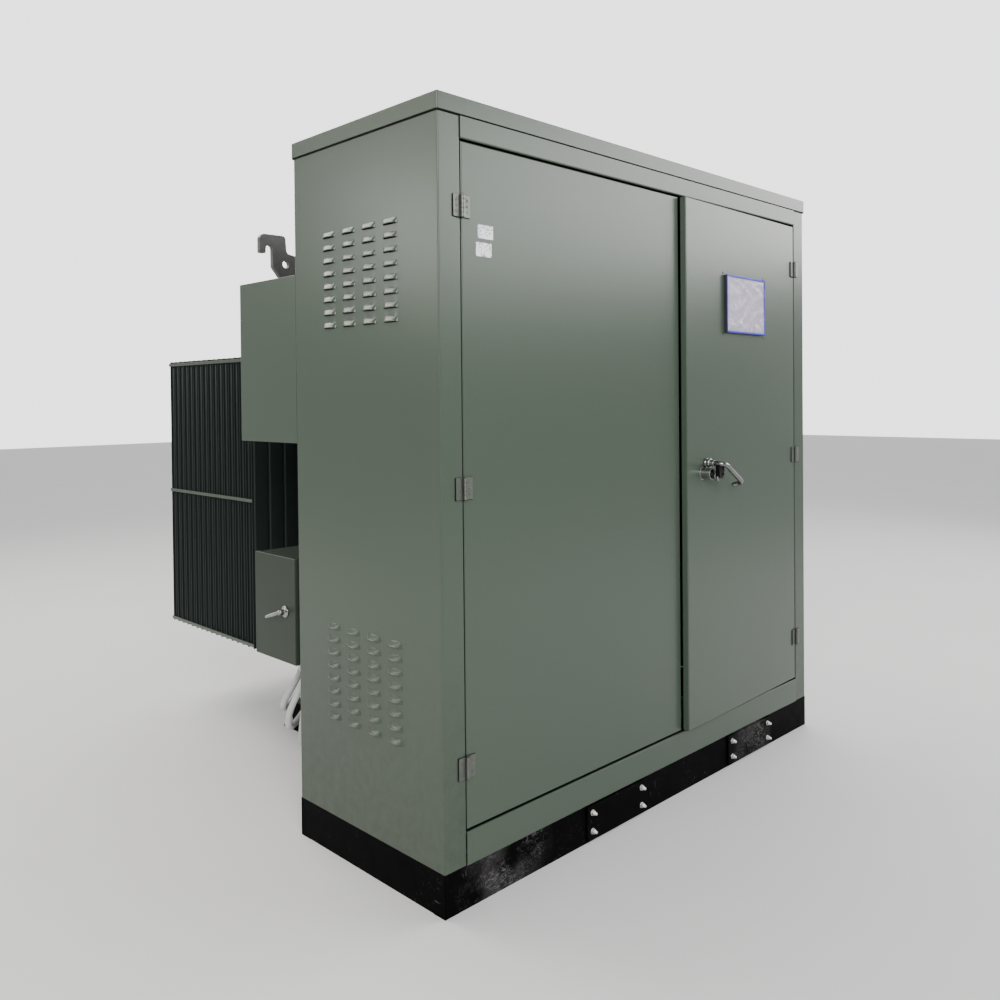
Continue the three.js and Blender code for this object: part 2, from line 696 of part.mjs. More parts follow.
// Assembly -----------------------------------------------------------------------------------
add('base_frame', baseFrame(), BLACK);
coverPlate('base_cover_plate_left', 578, 876);
coverPlate('base_cover_plate_right', 1391, 1700);
const leftPanel = sidePanel();
add('left_side_panel', leftPanel, GREEN);
add('right_side_panel', mirrored(leftPanel), GREEN);
frontRails();
roofCover();
barrier();
doors();
frontPlate();
tank();
const leftPocket = pocket();
add('tank_pocket_left', leftPocket, GREEN);
add('tank_pocket_right', mirrored(leftPocket), GREEN);
add('tank_skid', skid(), BLACK);
for (const [place, y, lowest] of [['front', 820, POCKET_TOP + GAP], ['rear', 1350, 1612]]) {
  const hook = liftingHook(y, lowest);
  add(`lifting_hook_${place}_left`, hook, STEEL);
  add(`lifting_hook_${place}_right`, mirrored(hook), STEEL);
}
const leftRadiator = radiator();
add('radiator_left', leftRadiator, RADIATOR_GREEN);
add('radiator_right', mirrored(leftRadiator), RADIATOR_GREEN);
add('core', core(), TRANSFORMER_STEEL);
[720, 1000, 1280].forEach((x, i) => add(`winding_${i + 1}`, coil(x), PAPER));
gear();
controlBox();
CONDUIT_ROUTES.forEach((route, i) => {
  add(`conduit_${i + 1}`, tubeAlong(route, CONDUIT_R, 8, 26), CONDUIT);
});

export default unit;
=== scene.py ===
"""Looks of the pad-mounted transformer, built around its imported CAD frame.

Shapes are laid out in cabinet millimetres, as the CAD is: x to the right, y to the back and z up from
the cabinet's front left bottom corner. Piece.done() turns them into metres in the row frame.
"""
import math

import bmesh
import bpy
from mathutils import Matrix, Vector


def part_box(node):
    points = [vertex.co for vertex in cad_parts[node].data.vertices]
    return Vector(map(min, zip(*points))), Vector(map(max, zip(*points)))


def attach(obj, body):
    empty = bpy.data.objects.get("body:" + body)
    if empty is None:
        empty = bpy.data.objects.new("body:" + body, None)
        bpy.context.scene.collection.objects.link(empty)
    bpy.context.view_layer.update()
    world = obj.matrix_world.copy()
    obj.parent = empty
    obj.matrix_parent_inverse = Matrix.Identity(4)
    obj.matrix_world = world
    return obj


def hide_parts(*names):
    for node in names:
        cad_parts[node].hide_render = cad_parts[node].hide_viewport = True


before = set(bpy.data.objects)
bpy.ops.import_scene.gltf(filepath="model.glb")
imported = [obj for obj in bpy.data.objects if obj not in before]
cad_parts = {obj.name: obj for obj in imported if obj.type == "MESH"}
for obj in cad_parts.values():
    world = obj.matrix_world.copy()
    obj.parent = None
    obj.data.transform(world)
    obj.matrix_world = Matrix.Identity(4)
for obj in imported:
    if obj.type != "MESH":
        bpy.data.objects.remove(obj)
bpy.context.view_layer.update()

MM = 0.001
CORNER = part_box("base_frame")[0]
LAYOUT = Matrix.Translation(CORNER) @ Matrix.Scale(MM, 4)


def span(node):
    """Lowest and highest corner of a CAD node, in cabinet millimetres."""
    low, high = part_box(node)
    return (low - CORNER) / MM, (high - CORNER) / MM


def sides(node):
    """x0, x1, y0, y1, z0, z1 of a CAD node, in cabinet millimetres."""
    low, high = span(node)
    return low.x, high.x, low.y, high.y, low.z, high.z


def at(x, y, z):
    return LAYOUT @ Vector((x, y, z))


WIDTH = span("base_frame")[1].x
DEPTH = span("base_frame")[1].y
BASE_TOP = span("base_frame")[1].z
BODY_TOP = span("left_side_panel")[1].z
PLATE_FACE = span("tank_front_plate")[0].y
AJAR_DEG = 1.9
HINGE_OUT = 7.5
HINGE_SEAM = 80.5
RIGHT_SEAM = WIDTH - HINGE_SEAM
AJAR = (Matrix.Translation((RIGHT_SEAM, -HINGE_OUT, 0)) @ Matrix.Rotation(math.radians(AJAR_DEG), 4, "Z")
        @ Matrix.Translation((-RIGHT_SEAM, HINGE_OUT, 0)))
MIRROR = Matrix.Translation((WIDTH, 0, 0)) @ Matrix.Scale(-1, 4, (1, 0, 0))

# Camera and lights --------------------------------------------------------------------------
CAMERA_PLACE = (-1564.2, -1832.7, 1390.1)
CAMERA_YAW, CAMERA_PITCH, CAMERA_ROLL = (math.radians(a) for a in (45.352, -0.794, -0.54))
CAMERA_LENS = 32.76
CAMERA_SHIFT = (-0.01755, -0.08985)
BACKDROP_WAY = (0.711, 0.703, 0)
WORLD_GLOW = (0.34, 2.6)
GLOW_EDGES = (0.25, 0.85)
SOFTBOX_SPREAD_DEG = 150
FLOOR_SPAN = (-26000, 28000)


def camera():
    data = bpy.data.cameras.new("camera")
    data.lens, data.sensor_width = CAMERA_LENS, 36
    data.shift_x, data.shift_y = CAMERA_SHIFT
    data.clip_end = 200
    obj = bpy.data.objects.new("camera", data)
    bpy.context.scene.collection.objects.link(obj)
    level = Matrix.Rotation(-CAMERA_YAW, 4, "Z") @ Matrix.Rotation(math.pi / 2 + CAMERA_PITCH, 4, "X")
    obj.matrix_world = Matrix.Translation(at(*CAMERA_PLACE)) @ level @ Matrix.Rotation(CAMERA_ROLL, 4, "Z")
    bpy.context.scene.camera = obj


def softbox(name, place, target, size, power, colour=(1, 1, 1)):
    data = bpy.data.lights.new(name, "AREA")
    data.shape, (data.size, data.size_y) = "RECTANGLE", size
    data.energy, data.color, data.spread = power, colour, math.radians(SOFTBOX_SPREAD_DEG)
    obj = bpy.data.objects.new(name, data)
    bpy.context.scene.collection.objects.link(obj)
    aim = (Vector(target) - Vector(place)).to_track_quat("-Z", "Y")
    obj.matrix_world = Matrix.Translation(place) @ aim.to_matrix().to_4x4()


def studio():
    world = bpy.data.worlds.new("studio")
    bpy.context.scene.world = world
    world.use_nodes = True
    nodes, links = world.node_tree.nodes, world.node_tree.links
    toward_back = nodes.new("ShaderNodeVectorMath")
    toward_back.operation = "DOT_PRODUCT"
    toward_back.inputs[1].default_value = BACKDROP_WAY
    links.new(nodes.new("ShaderNodeTexCoord").outputs["Generated"], toward_back.inputs[0])
    glow = nodes.new("ShaderNodeMapRange")
    for socket, value in zip(("From Min", "From Max", "To Min", "To Max"), (*GLOW_EDGES, *WORLD_GLOW)):
        glow.inputs[socket].default_value = value
    glow.interpolation_type = "SMOOTHSTEP"
    links.new(toward_back.outputs["Value"], glow.inputs["Value"])
    links.new(glow.outputs["Result"], nodes["Background"].inputs["Strength"])
    nodes["Background"].inputs["Color"].default_value = (1, 1, 1, 1)
    softbox("fill", (-4.4, -5.2, 3.8), (-0.4, -0.6, 1.9), (4, 3), 285)
    softbox("window_front", (5.7, -4.4, 3.7), (0.4, -1.0, 2.2), (8.5, 2), 290)
    softbox("window_left", (-6.0, 2.2, 3.3), (-1.0, 0.0, 2.0), (4, 2.4), 48, (1, 0.93, 0.82))
    softbox("window_edge", (-5.7, 4.6, 3.2), (-1.0, -1.0, 1.85), (1.1, 1.1), 26)
    softbox("skylight", (-1.8, 4.8, 6.3), (-1.0, -0.6, 1.6), (5, 4), 250, (1, 0.96, 0.9))
    floor = Piece("floor")
    low, high = FLOOR_SPAN
    floor.grid([(low, low, 0), (high, low, 0), (high, high, 0), (low, high, 0)])
    ground = floor.make(pale_floor())


# Mesh building ------------------------------------------------------------------------------
def arc(centre, radius, start, end, steps):
    """Points on a circle's arc, angles in degrees."""
    return [(centre[0] + radius * math.cos(math.radians(start + (end - start) * i / steps)),
             centre[1] + radius * math.sin(math.radians(start + (end - start) * i / steps)))
            for i in range(steps + 1)]


def rounded(points, steps=4):
    """An outline of (a, b, corner radius) with each corner as an arc."""
    out = []
    for i, (a, b, radius) in enumerate(points):
        here = Vector((a, b))
        back = (Vector(points[i - 1][:2]) - here).normalized()
        on = (Vector(points[(i + 1) % len(points)][:2]) - here).normalized()
        half = math.acos(max(-1, min(1, back.dot(on)))) / 2
        if radius <= 0 or half > 1.55:
            out.append((a, b))
            continue
        reach = radius / math.tan(half)
        centre = here + (back + on).normalized() * (radius / math.sin(half))
        start, end = here + back * reach - centre, here + on * reach - centre
        turn = start.angle_signed(end)
        for k in range(steps + 1):
            spoke = start.copy()
            spoke.rotate(Matrix.Rotation(-turn * k / steps, 2))
            out.append(tuple(centre + spoke))
    return out


def strip(path, thick, bend):
    """The closed outline of a sheet folded along an open path, its thickness to the path's left."""
    points = [Vector(p) for p in path]
    inner = []
    for i, p in enumerate(points):
        way_in = (p - points[i - 1]).normalized() if i else None
        way_out = (points[i + 1] - p).normalized() if i + 1 < len(points) else None
        normals = [Vector((-w.y, w.x)) for w in (way_in, way_out) if w]
        middle = sum(normals, Vector((0, 0))).normalized()
        inner.append(p + middle * (thick / middle.dot(normals[0])))
    last = len(points) - 1
    turns = [0] * len(points)
    for i in range(1, last):
        a, b = points[i] - points[i - 1], points[i + 1] - points[i]
        turns[i] = 1 if a.x * b.y - a.y * b.x > 0 else -1
    outside = [(*p, (bend if turns[i] > 0 else bend - thick) if turns[i] else 0.3) for i,
               p in enumerate(points)]
    inside = [(*p, (bend - thick if turns[i] > 0 else bend) if turns[i] else 0.3) for i,
              p in enumerate(inner)]
    return rounded(outside + inside[::-1], 3)


def turned_to(axis):
    """A rotation that takes +Z to the axis."""
    return Vector((0, 0, 1)).rotation_difference(Vector(axis).normalized()).to_matrix().to_4x4()


ALONG = {"x": Matrix(((0, 0, 1, 0), (1, 0, 0, 0), (0, 1, 0, 0), (0, 0, 0, 1))),
         "y": Matrix(((1, 0, 0, 0), (0, 0, 1, 0), (0, 1, 0, 0), (0, 0, 0, 1))),
         "z": Matrix.Identity(4)}


class Piece:
    """Collects closed shapes in cabinet millimetres and makes them into one object."""

    def __init__(self, name):
        self.name, self.bm = name, bmesh.new()

    def take(self, bm, bevel=0.0, steps=2, place=None):
        """Adds a small mesh, its sharp edges rounded first."""
        bm.normal_update()
        if bevel:
            sharp = [e for e in bm.edges if len(e.link_faces) == 2 and e.calc_face_angle(0) > 0.6]
            bmesh.ops.bevel(bm, geom=sharp, offset=bevel, segments=steps, profile=0.5,
                            affect="EDGES", clamp_overlap=True)
        if place is not None:
            bm.transform(place)
        mesh = bpy.data.meshes.new("part")
        bm.to_mesh(mesh)
        bm.free()
        self.bm.from_mesh(mesh)
        bpy.data.meshes.remove(mesh)
        return self

    def box(self, x0, x1, y0, y1, z0, z1, bevel=1.0, steps=2, place=None):
        bm = bmesh.new()
        bmesh.ops.create_cube(bm, size=1)
        scale = Matrix.Diagonal((x1 - x0, y1 - y0, z1 - z0, 1))
        bm.transform(Matrix.Translation(((x0 + x1) / 2, (y0 + y1) / 2, (z0 + z1) / 2)) @ scale)
        return self.take(bm, bevel, steps, place)

    def prism(self, outline, axis, start, end, bevel=0.0, holes=(), place=None):
        """An outline drawn along an axis: (y, z) along x, (x, z) along y or (x, y) along z."""
        bm = bmesh.new()
        edges = []
        for loop in [outline, *holes]:
            verts = [bm.verts.new((a, b, start)) for a, b in loop]
            edges += [bm.edges.new((verts[i - 1], verts[i])) for i in range(len(verts))]
        if holes:
            bmesh.ops.triangle_fill(bm, edges=edges, use_beauty=True, use_dissolve=False)
        else:
            bm.faces.new(list(bm.verts))
        moved = bmesh.ops.extrude_face_region(bm, geom=list(bm.faces))
        top = [v for v in moved["geom"] if isinstance(v, bmesh.types.BMVert)]
        bmesh.ops.translate(bm, verts=top, vec=(0, 0, end - start))
        bmesh.ops.recalc_face_normals(bm, faces=list(bm.faces))
        bm.transform(ALONG[axis])
        return self.take(bm, bevel, 2, place)

    def lathe(self, profile, place, axis=(0, 0, 1), sides=32, squash=(1, 1, 1)):
        """A profile of (radius, height) turned about an axis through a place."""
        bm = bmesh.new()
        rings = []
        for radius, height in profile:
            if radius <= 1e-6:
                rings.append([bm.verts.new((0, 0, height))])
                continue
            rings.append([bm.verts.new((radius * math.cos(2 * math.pi * k / sides),
                                        radius * math.sin(2 * math.pi * k / sides), height))
                          for k in range(sides)])
        self.skin(bm, rings)
        spot = Matrix.Translation(place) @ turned_to(axis) @ Matrix.Diagonal((*squash, 1))
        return self.take(bm, place=spot)

    @staticmethod
    def skin(bm, rings, closed=False):
        """Faces between rings of points. A ring of one point is a tip."""
        pairs = list(zip(rings, rings[1:])) + ([(rings[-1], rings[0])] if closed else [])
        for a, b in pairs:
            count = max(len(a), len(b))
            for k in range(count):
                n = (k + 1) % count
                corners = [a[k % len(a)], a[n % len(a)], b[n % len(b)], b[k % len(b)]]
                corners = [v for i, v in enumerate(corners) if v not in corners[:i]]
                if len(corners) > 2:
                    bm.faces.new(corners)
        if not closed:
            for ring in (rings[0], rings[-1]):
                if len(ring) > 2:
                    bm.faces.new(ring)
        bmesh.ops.recalc_face_normals(bm, faces=list(bm.faces))

    def rod(self, a, b, radius, sides=28, edge=0.8):
        a, b = Vector(a), Vector(b)
        length = (b - a).length
        edge = min(edge, radius / 2, length / 3)
        profile = [(0, 0), (radius - edge, 0), (radius, edge), (radius, length - edge),
                   (radius - edge, length), (0, length)]
        return self.lathe(profile, a, b - a, sides)

    def ring(self, centre, axis, radius, thick, sides=40, round_=14):
        """A ring of round section."""
        bm = bmesh.new()
        rings = []
        for k in range(sides):
            turn = Matrix.Rotation(2 * math.pi * k / sides, 4, "Z")
            rings.append([bm.verts.new(turn @ Vector((radius + a, 0, b)))
                          for a, b in arc((0, 0), thick, 0, 360 * (1 - 1 / round_), round_ - 1)])
        self.skin(bm, rings, closed=True)
        return self.take(bm, place=Matrix.Translation(centre) @ turned_to(axis))

    def sweep(self, points, radius, sides=16):
        """A round bar along a smooth line of points. radius may be a function of the share of the way."""
        bm = bmesh.new()
        line = [Vector(p) for p in points]
        side = (line[1] - line[0]).orthogonal().normalized()
        rings = []
        for i, p in enumerate(line):
            ahead = (line[min(i + 1, len(line) - 1)] - line[max(i - 1, 0)]).normalized()
            side = (side - ahead * side.dot(ahead)).normalized()
            other = ahead.cross(side)
            r = radius(i / (len(line) - 1)) if callable(radius) else radius
            rings.append([bm.verts.new(p + r * (side * math.cos(t) + other * math.sin(t)))
                          for t in (2 * math.pi * k / sides for k in range(sides))])
        self.skin(bm, rings)
        return self.take(bm)

    def pan(self, u0, u1, v0, v1, contour, corner, to_space):
        """A folded tray: a rounded rectangle's loops, drawn in and back as the contour says."""
        bm = bmesh.new()
        loops = []
        for inset, back in contour:
            radius = max(corner - max(inset, 0), 0.4)
            a0, a1, b0, b1 = u0 + inset, u1 - inset, v0 + inset, v1 - inset
            flat = (arc((a1 - radius, b1 - radius), radius, 0, 90, 3)
                    + arc((a0 + radius, b1 - radius), radius, 90, 180, 3)
                    + arc((a0 + radius, b0 + radius), radius, 180, 270, 3)
                    + arc((a1 - radius, b0 + radius), radius, 270, 360, 3))
            loops.append([bm.verts.new(to_space(u, v, back)) for u, v in flat])
        self.skin(bm, loops)
        return self.take(bm)

    def hexagon(self, place, axis, flats, height, sides=6):
        """A hexagon head or nut, chamfered on its outer face."""
        big = flats / math.sqrt(3)
        bm = bmesh.new()
        rings = []
        for radius, h in ((big, 0), (big, height * 0.82), (flats / 2 * 0.93, height)):
            rings.append([bm.verts.new((radius * math.cos(math.pi * 2 * k / sides),
                                        radius * math.sin(math.pi * 2 * k / sides), h))
                          for k in range(sides)])
        self.skin(bm, rings)
        return self.take(bm, 0.35, 1, Matrix.Translation(place) @ turned_to(axis))

    def bolt(self, place, axis, size, head=True, stud=0.0):
        """A bolt head or nut on its washers, size being the thread, with its thread end showing."""
        place, axis = Vector(place), Vector(axis).normalized()
        self.lathe([(0, 0), (size * 1.05, 0), (size * 1.1, 0.4), (size * 1.1, size * 0.16),
                    (0, size * 0.2)],
                   place, axis, 24)
        self.lathe([(0, 0), (size * 0.86, 0), (size * 0.86, size * 0.2), (0, size * 0.22)],
                   place + axis * size * 0.16, axis, 20)
        nut = size * (0.64 if head else 0.8)
        self.hexagon(place + axis * size * 0.34, axis, size * 1.55, nut)
        if stud:
            self.thread(place + axis * (size * 0.34 + nut * 0.6), axis, size / 2, stud + nut * 0.4)
        return self

    def thread(self, place, axis, radius, length):
        pitch = max(radius * 0.26, length / 40)
        profile = [(0, 0)]
        turns = max(2, int(length / pitch))
        for k in range(turns):
            profile += [(radius, (k + 0.1) * pitch), (radius * 0.88, (k + 0.6) * pitch)]
        profile += [(radius * 0.8, turns * pitch), (0, turns * pitch)]
        return self.lathe(profile, place, axis, 16)

    def bead(self, a, b, radius):
        """A weld bead: a low rippled bar."""
        a, b = Vector(a), Vector(b)
        count = max(6, int((b - a).length / (radius * 0.9)))
        points = [a.lerp(b, i / count) for i in range(count + 1)]
        return self.sweep(points, lambda t: radius * (0.86 + 0.14 * math.cos(t * count * math.pi)), 8)

    def grid(self, corners):
        self.bm.faces.new([self.bm.verts.new(c) for c in corners])
        return self

    def sheet(self, columns, rows, thick, spot):
        """A thin sheet on a grid of points. spot(u, v) places each, u and v going from 0 to 1."""
        bm = bmesh.new()
        verts = [bm.verts.new(spot(i / columns,
                                   j / rows)) for j in range(rows + 1) for i in range(columns + 1)]
        for j in range(rows):
            for i in range(columns):
                k = j * (columns + 1) + i
                bm.faces.new((verts[k], verts[k + 1], verts[k + columns + 2], verts[k + columns + 1]))
        bmesh.ops.solidify(bm, geom=list(bm.faces), thickness=thick)
        return self.take(bm)

    def make(self, material, turn=None, angle=30):
        if turn is not None:
            self.bm.transform(turn)
            if turn.determinant() < 0:
                bmesh.ops.reverse_faces(self.bm, faces=list(self.bm.faces))
        self.bm.transform(LAYOUT)
        mesh = bpy.data.meshes.new(self.name)
        self.bm.to_mesh(mesh)
        self.bm.free()
        mesh.polygons.foreach_set("use_smooth", [True] * len(mesh.polygons))
        mesh.set_sharp_from_angle(angle=math.radians(angle))
        mesh.materials.append(material)
        obj = bpy.data.objects.new(self.name, mesh)
        bpy.context.scene.collection.objects.link(obj)
        smooth_normals(obj)
        return obj

    def done(self, material, slot, body="unit", replaces=(), turn=None, angle=30):
        obj = self.make(material, turn, angle)
        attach(obj, body)
        if replaces:
            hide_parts(*replaces)
        return obj


def smooth_normals(obj):
    """Keeps the large flat faces flat next to rounded edges."""
    normals = obj.modifiers.new("flat_faces", "WEIGHTED_NORMAL")
    normals.keep_sharp = True
    normals.mode = "FACE_AREA"


def dress(node, material, bevel=0.0):
    """Gives a CAD node that stays its finish, and rounds its sharp edges."""
    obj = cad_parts[node]
    obj.data.materials.clear()
    obj.data.materials.append(material)
    if bevel:
        weld = obj.modifiers.new("weld", "WELD")
        weld.merge_threshold = 0.00005
        edge = obj.modifiers.new("edges", "BEVEL")
        edge.width, edge.segments = bevel * MM, 2
        edge.limit_method, edge.angle_limit = "ANGLE", math.radians(35)
        smooth_normals(obj)


# Materials ----------------------------------------------------------------------------------
class Finish:
    """A node material: one Principled shader, fed by noise in the piece's own space."""

    def __init__(self, name, rough=0.5, metal=0.0, **sockets):
        self.material = bpy.data.materials.new(name)
        self.material.use_nodes = True
        tree = self.material.node_tree
        self.nodes, self.links = tree.nodes, tree.links
        self.shader = self.nodes["Principled BSDF"]
        self.space = self.nodes.new("ShaderNodeTexCoord").outputs["Object"]
        self.shader.inputs["Roughness"].default_value = rough
        self.shader.inputs["Metallic"].default_value = metal
        for socket, value in sockets.items():
            self.shader.inputs[socket.replace("_", " ")].default_value = value

    def plug(self, socket, value):
        if isinstance(value, bpy.types.NodeSocket):
            self.links.new(value, socket)
        elif isinstance(value, tuple) and len(value) == 3 and socket.type == "RGBA":
            socket.default_value = (*value, 1)
        else:
            socket.default_value = value

    def noise(self, scale, detail=3.0, rough=0.5, stretch=(1, 1, 1), distort=0.0):
        place = self.nodes.new("ShaderNodeMapping")
        place.inputs["Scale"].default_value = stretch
        self.links.new(self.space, place.inputs["Vector"])
        node = self.nodes.new("ShaderNodeTexNoise")
        self.links.new(place.outputs["Vector"], node.inputs["Vector"])
        for socket, value in (("Scale", scale), ("Detail", detail), ("Roughness", rough),
                              ("Distortion", distort)):
            node.inputs[socket].default_value = value
        return node.outputs["Fac"]

    def level(self, value, low, high, to_low=0.0, to_high=1.0):
        node = self.nodes.new("ShaderNodeMapRange")
        for socket, v in (("Value", value), ("From Min", low), ("From Max", high),
                          ("To Min", to_low), ("To Max", to_high)):
            self.plug(node.inputs[socket], v)
        return node.outputs["Result"]

    def maths(self, kind, a, b=0.0):
        node = self.nodes.new("ShaderNodeMath")
        node.operation, node.use_clamp = kind, kind in ("MULTIPLY", "ADD")
        self.plug(node.inputs[0], a)
        self.plug(node.inputs[1], b)
        return node.outputs[0]

    def blend(self, factor, a, b):
        node = self.nodes.new("ShaderNodeMix")
        node.data_type = "RGBA"
        self.plug(node.inputs[0], factor)
        self.plug(node.inputs[6], a)
        self.plug(node.inputs[7], b)
        return node.outputs[2]

    def near(self, place, reach):
        """1 at a place, fading to 0 at that distance."""
        node = self.nodes.new("ShaderNodeVectorMath")
        node.operation = "DISTANCE"
        self.links.new(self.space, node.inputs[0])
        node.inputs[1].default_value = at(*place)
        return self.level(node.outputs["Value"], reach, reach * 0.4)

    def height(self):
        """How high a point is above the ground, in metres."""
        node = self.nodes.new("ShaderNodeSeparateXYZ")
        self.links.new(self.space, node.inputs[0])
        return node.outputs["Z"]

    def bump(self, height, distance, strength=1.0):
        node = self.nodes.new("ShaderNodeBump")
        node.inputs["Distance"].default_value = distance
        node.inputs["Strength"].default_value = strength
        self.links.new(height, node.inputs["Height"])
        last = self.shader.inputs["Normal"]
        if last.is_linked:
            self.links.new(last.links[0].from_socket, node.inputs["Normal"])
        self.links.new(node.outputs["Normal"], last)

    def colour(self, value):
        self.plug(self.shader.inputs["Base Color"], value)

    def rough(self, value):
        self.plug(self.shader.inputs["Roughness"], value)


def shade(colour, factor):
    return tuple(c * factor for c in colour)


def enamel(name, colour, gloss, dust_and_shade, peel=0.00012, dust_and_shade_amount=0.06, shine=0.4):
    """Sprayed enamel: cloudy tone, fine grain, orange peel, a wavy sheet, and a patchy film towards the
    ground: a dusting where its colour is paler than the paint, painted shade where it is darker.
    """
    made = Finish(name, gloss, Specular_IOR_Level=shine)
    tone = made.blend(made.noise(1.3, 1), shade(colour, 0.96), shade(colour, 1.04))
    tone = made.blend(made.level(made.noise(900, 1), 0.3, 0.7), tone, shade(colour, 0.86))
    low = made.level(made.height(), 0.8, 0.1)
    # The film towards the ground is a dusting for most finishes and painted shade for the side panels,
    # whose film colour is darker than the paint.
    film = made.maths("MULTIPLY", made.level(made.noise(30, 5, 0.65), 0.2, 0.9), low)
    film = made.maths("MULTIPLY", film, dust_and_shade_amount)
    made.colour(made.blend(film, tone, dust_and_shade))
    made.bump(made.noise(1.6, 0), 0.001, 0.5)
    made.bump(made.noise(620, 1), peel, 0.6)
    return made.material


SCUFF_PLATE = (1560, -6, 62)
SCUFF_CORNER = (230, 0, 60)


def base_black():
    """Black bitumen paint on rolled channel, scuffed and streaked with pale grit."""
    made = Finish("black_base_paint", 0.42, Specular_IOR_Level=0.02)
    black = made.blend(made.noise(7, 4), (0.0008, 0.0008, 0.0009), (0.0022, 0.002, 0.0023))
    grit = made.maths("MULTIPLY", made.level(made.noise(95, 6, 0.72, (1, 1, 0.6), 1.2), 0.6, 0.72),
                      made.level(made.noise(6.5, 3), 0.46, 0.62))
    scrape = made.maths("MULTIPLY", made.level(made.noise(75, 3, 0.6, (0.25, 0.25, 1.6)), 0.68, 0.74),
                        made.level(made.noise(4, 2), 0.5, 0.64, 0, 0.8))
    mark = made.maths("ADD", grit, scrape)
    worn = made.maths("ADD", made.near(SCUFF_PLATE, 0.16), made.near(SCUFF_CORNER, 0.2))
    streak = made.maths("MULTIPLY", made.level(made.noise(34, 6, 0.75, (1, 1, 1.4), 3), 0.5, 0.66),
                        made.level(made.noise(11, 2), 0.42, 0.6))
    mark = made.maths("ADD", mark, made.maths("MULTIPLY", worn, streak))
    smear = made.maths("MULTIPLY", made.maths("MULTIPLY", worn, made.level(made.noise(8, 3), 0.42, 0.6)),
                       0.2)
    mark = made.maths("ADD", mark, smear)
    tone = made.blend(made.maths("MULTIPLY", mark, 0.5), black, (0.26, 0.25, 0.25))
    film = made.maths("MULTIPLY", made.level(made.noise(3.2, 4, 0.6), 0.45, 0.8), 0.006)
    made.colour(made.blend(film, tone, (0.08, 0.077, 0.07)))
    made.rough(made.maths("ADD", made.level(made.noise(18, 4), 0.3, 0.7, 0.34, 0.5),
                          made.maths("MULTIPLY", mark, 0.3)))
    made.bump(made.noise(140, 4, 0.6), 0.0004, 0.5)
    made.bump(mark, 0.0002, 0.5)
    return made.material


def metal(name, colour, dull, gloss, grain=(1, 1, 1), scale=160, spots=0.25, bump=0.00006):
    """Plated or bare metal: cloudy, with grain along one way and darker spots."""
    made = Finish(name, gloss, 1.0)
    cloud = made.blend(made.level(made.noise(38, 4, 0.6), 0.3, 0.7), colour, shade(colour, 0.8))
    spot = made.maths("MULTIPLY", made.level(made.noise(140, 4, 0.7), 0.58, 0.72), spots)
    made.colour(made.blend(spot, cloud, dull))
    lines = made.noise(scale, 3, 0.6, grain)
    made.rough(made.maths("ADD", made.level(lines, 0.3, 0.7, gloss - 0.05, gloss + 0.1),
                          made.maths("MULTIPLY", spot, 0.8)))
    made.bump(lines, bump, 0.7)
    return made.material


def moulded(name, colour, gloss, scale=420, bump=0.00008, **sockets):
    """Moulded resin, rubber or plastic: a fine even grain and a faint bloom."""
    made = Finish(name, gloss, **sockets)
    tone = made.blend(made.level(made.noise(12, 3), 0.35, 0.65), colour, shade(colour, 0.78))
    bloom = made.maths("MULTIPLY", made.level(made.noise(60, 4, 0.6), 0.5, 0.75), 0.1)
    made.colour(made.blend(bloom, tone, tuple(c * 1.6 + 0.004 for c in colour)))
    made.rough(made.level(made.noise(25, 4), 0.3, 0.7, gloss - 0.06, gloss + 0.1))
    made.bump(made.noise(scale, 2), bump, 0.6)
    return made.material


def banded(name, colour, dark, metallic, rough, rate, axis, depth):
    """Stacked laminations or wound layers: fine bands along one axis."""
    made = Finish(name, rough, metallic)
    wave = made.nodes.new("ShaderNodeTexWave")
    wave.wave_type, wave.bands_direction = "BANDS", axis
    made.links.new(made.space, wave.inputs["Vector"])
    wave.inputs["Scale"].default_value = rate
    wave.inputs["Distortion"].default_value = 0.4
    line = wave.outputs["Fac"]
    tone = made.blend(line, dark, colour)
    made.colour(made.blend(made.maths("MULTIPLY", made.noise(9, 4), 0.4), tone, dark))
    made.rough(made.level(made.noise(30, 3), 0.3, 0.7, rough - 0.08, rough + 0.1))
    made.bump(line, depth, 0.8)
    return made.material


def paper_sheet():
    """A printed sheet under film: white with a lilac cast, and faint ruled rows with nothing to read."""
    made = Finish("paper_sheet", 0.35)
    cast = made.blend(made.noise(16, 3), (0.9, 0.84, 1.0), (0.96, 0.91, 1.0))
    rows = made.level(made.noise(1, 1, 0.5, (40, 1, 210)), 0.56, 0.62)
    rows = made.maths("MULTIPLY", rows, made.level(made.noise(12, 2), 0.45, 0.65, 0, 0.28))
    made.colour(made.blend(rows, cast, (0.45, 0.43, 0.55)))
    made.rough(made.level(made.noise(30, 3), 0.3, 0.7, 0.3, 0.45))
    made.bump(made.noise(14, 3, 0.6, (1, 1, 1), 1.5), 0.002, 0.5)
    return made.material


def tag_sheet():
    """A small white label with a scatter of grey blocks and rows that spell nothing."""
    made = Finish("tag_sheet", 0.4)
    blocks = made.level(made.noise(1, 0, 0.5, (190, 1, 190)), 0.48, 0.56)
    where = made.level(made.noise(1, 1, 0.5, (38, 1, 50)), 0.4, 0.52, 0, 0.85)
    made.colour(made.blend(made.maths("MULTIPLY", blocks, where), (0.9, 0.89, 0.93), (0.2, 0.19, 0.26)))
    made.rough(made.level(made.noise(60, 3), 0.3, 0.7, 0.35, 0.5))
    made.bump(made.noise(90, 2), 0.0002, 0.4)
    return made.material


def clear_film():
    """A clear plastic pocket: wrinkled, thin and shiny."""
    made = Finish("clear_film", 0.08, Alpha=0.38, IOR=1.45)
    made.colour(made.blend(made.noise(30, 3), (0.93, 0.88, 1.0), (0.88, 0.82, 1.0)))
    made.rough(made.level(made.noise(22, 3), 0.3, 0.7, 0.04, 0.16))
    made.bump(made.noise(15, 3, 0.5, (1, 1, 0.7), 2.4), 0.014, 0.9)
    return made.material


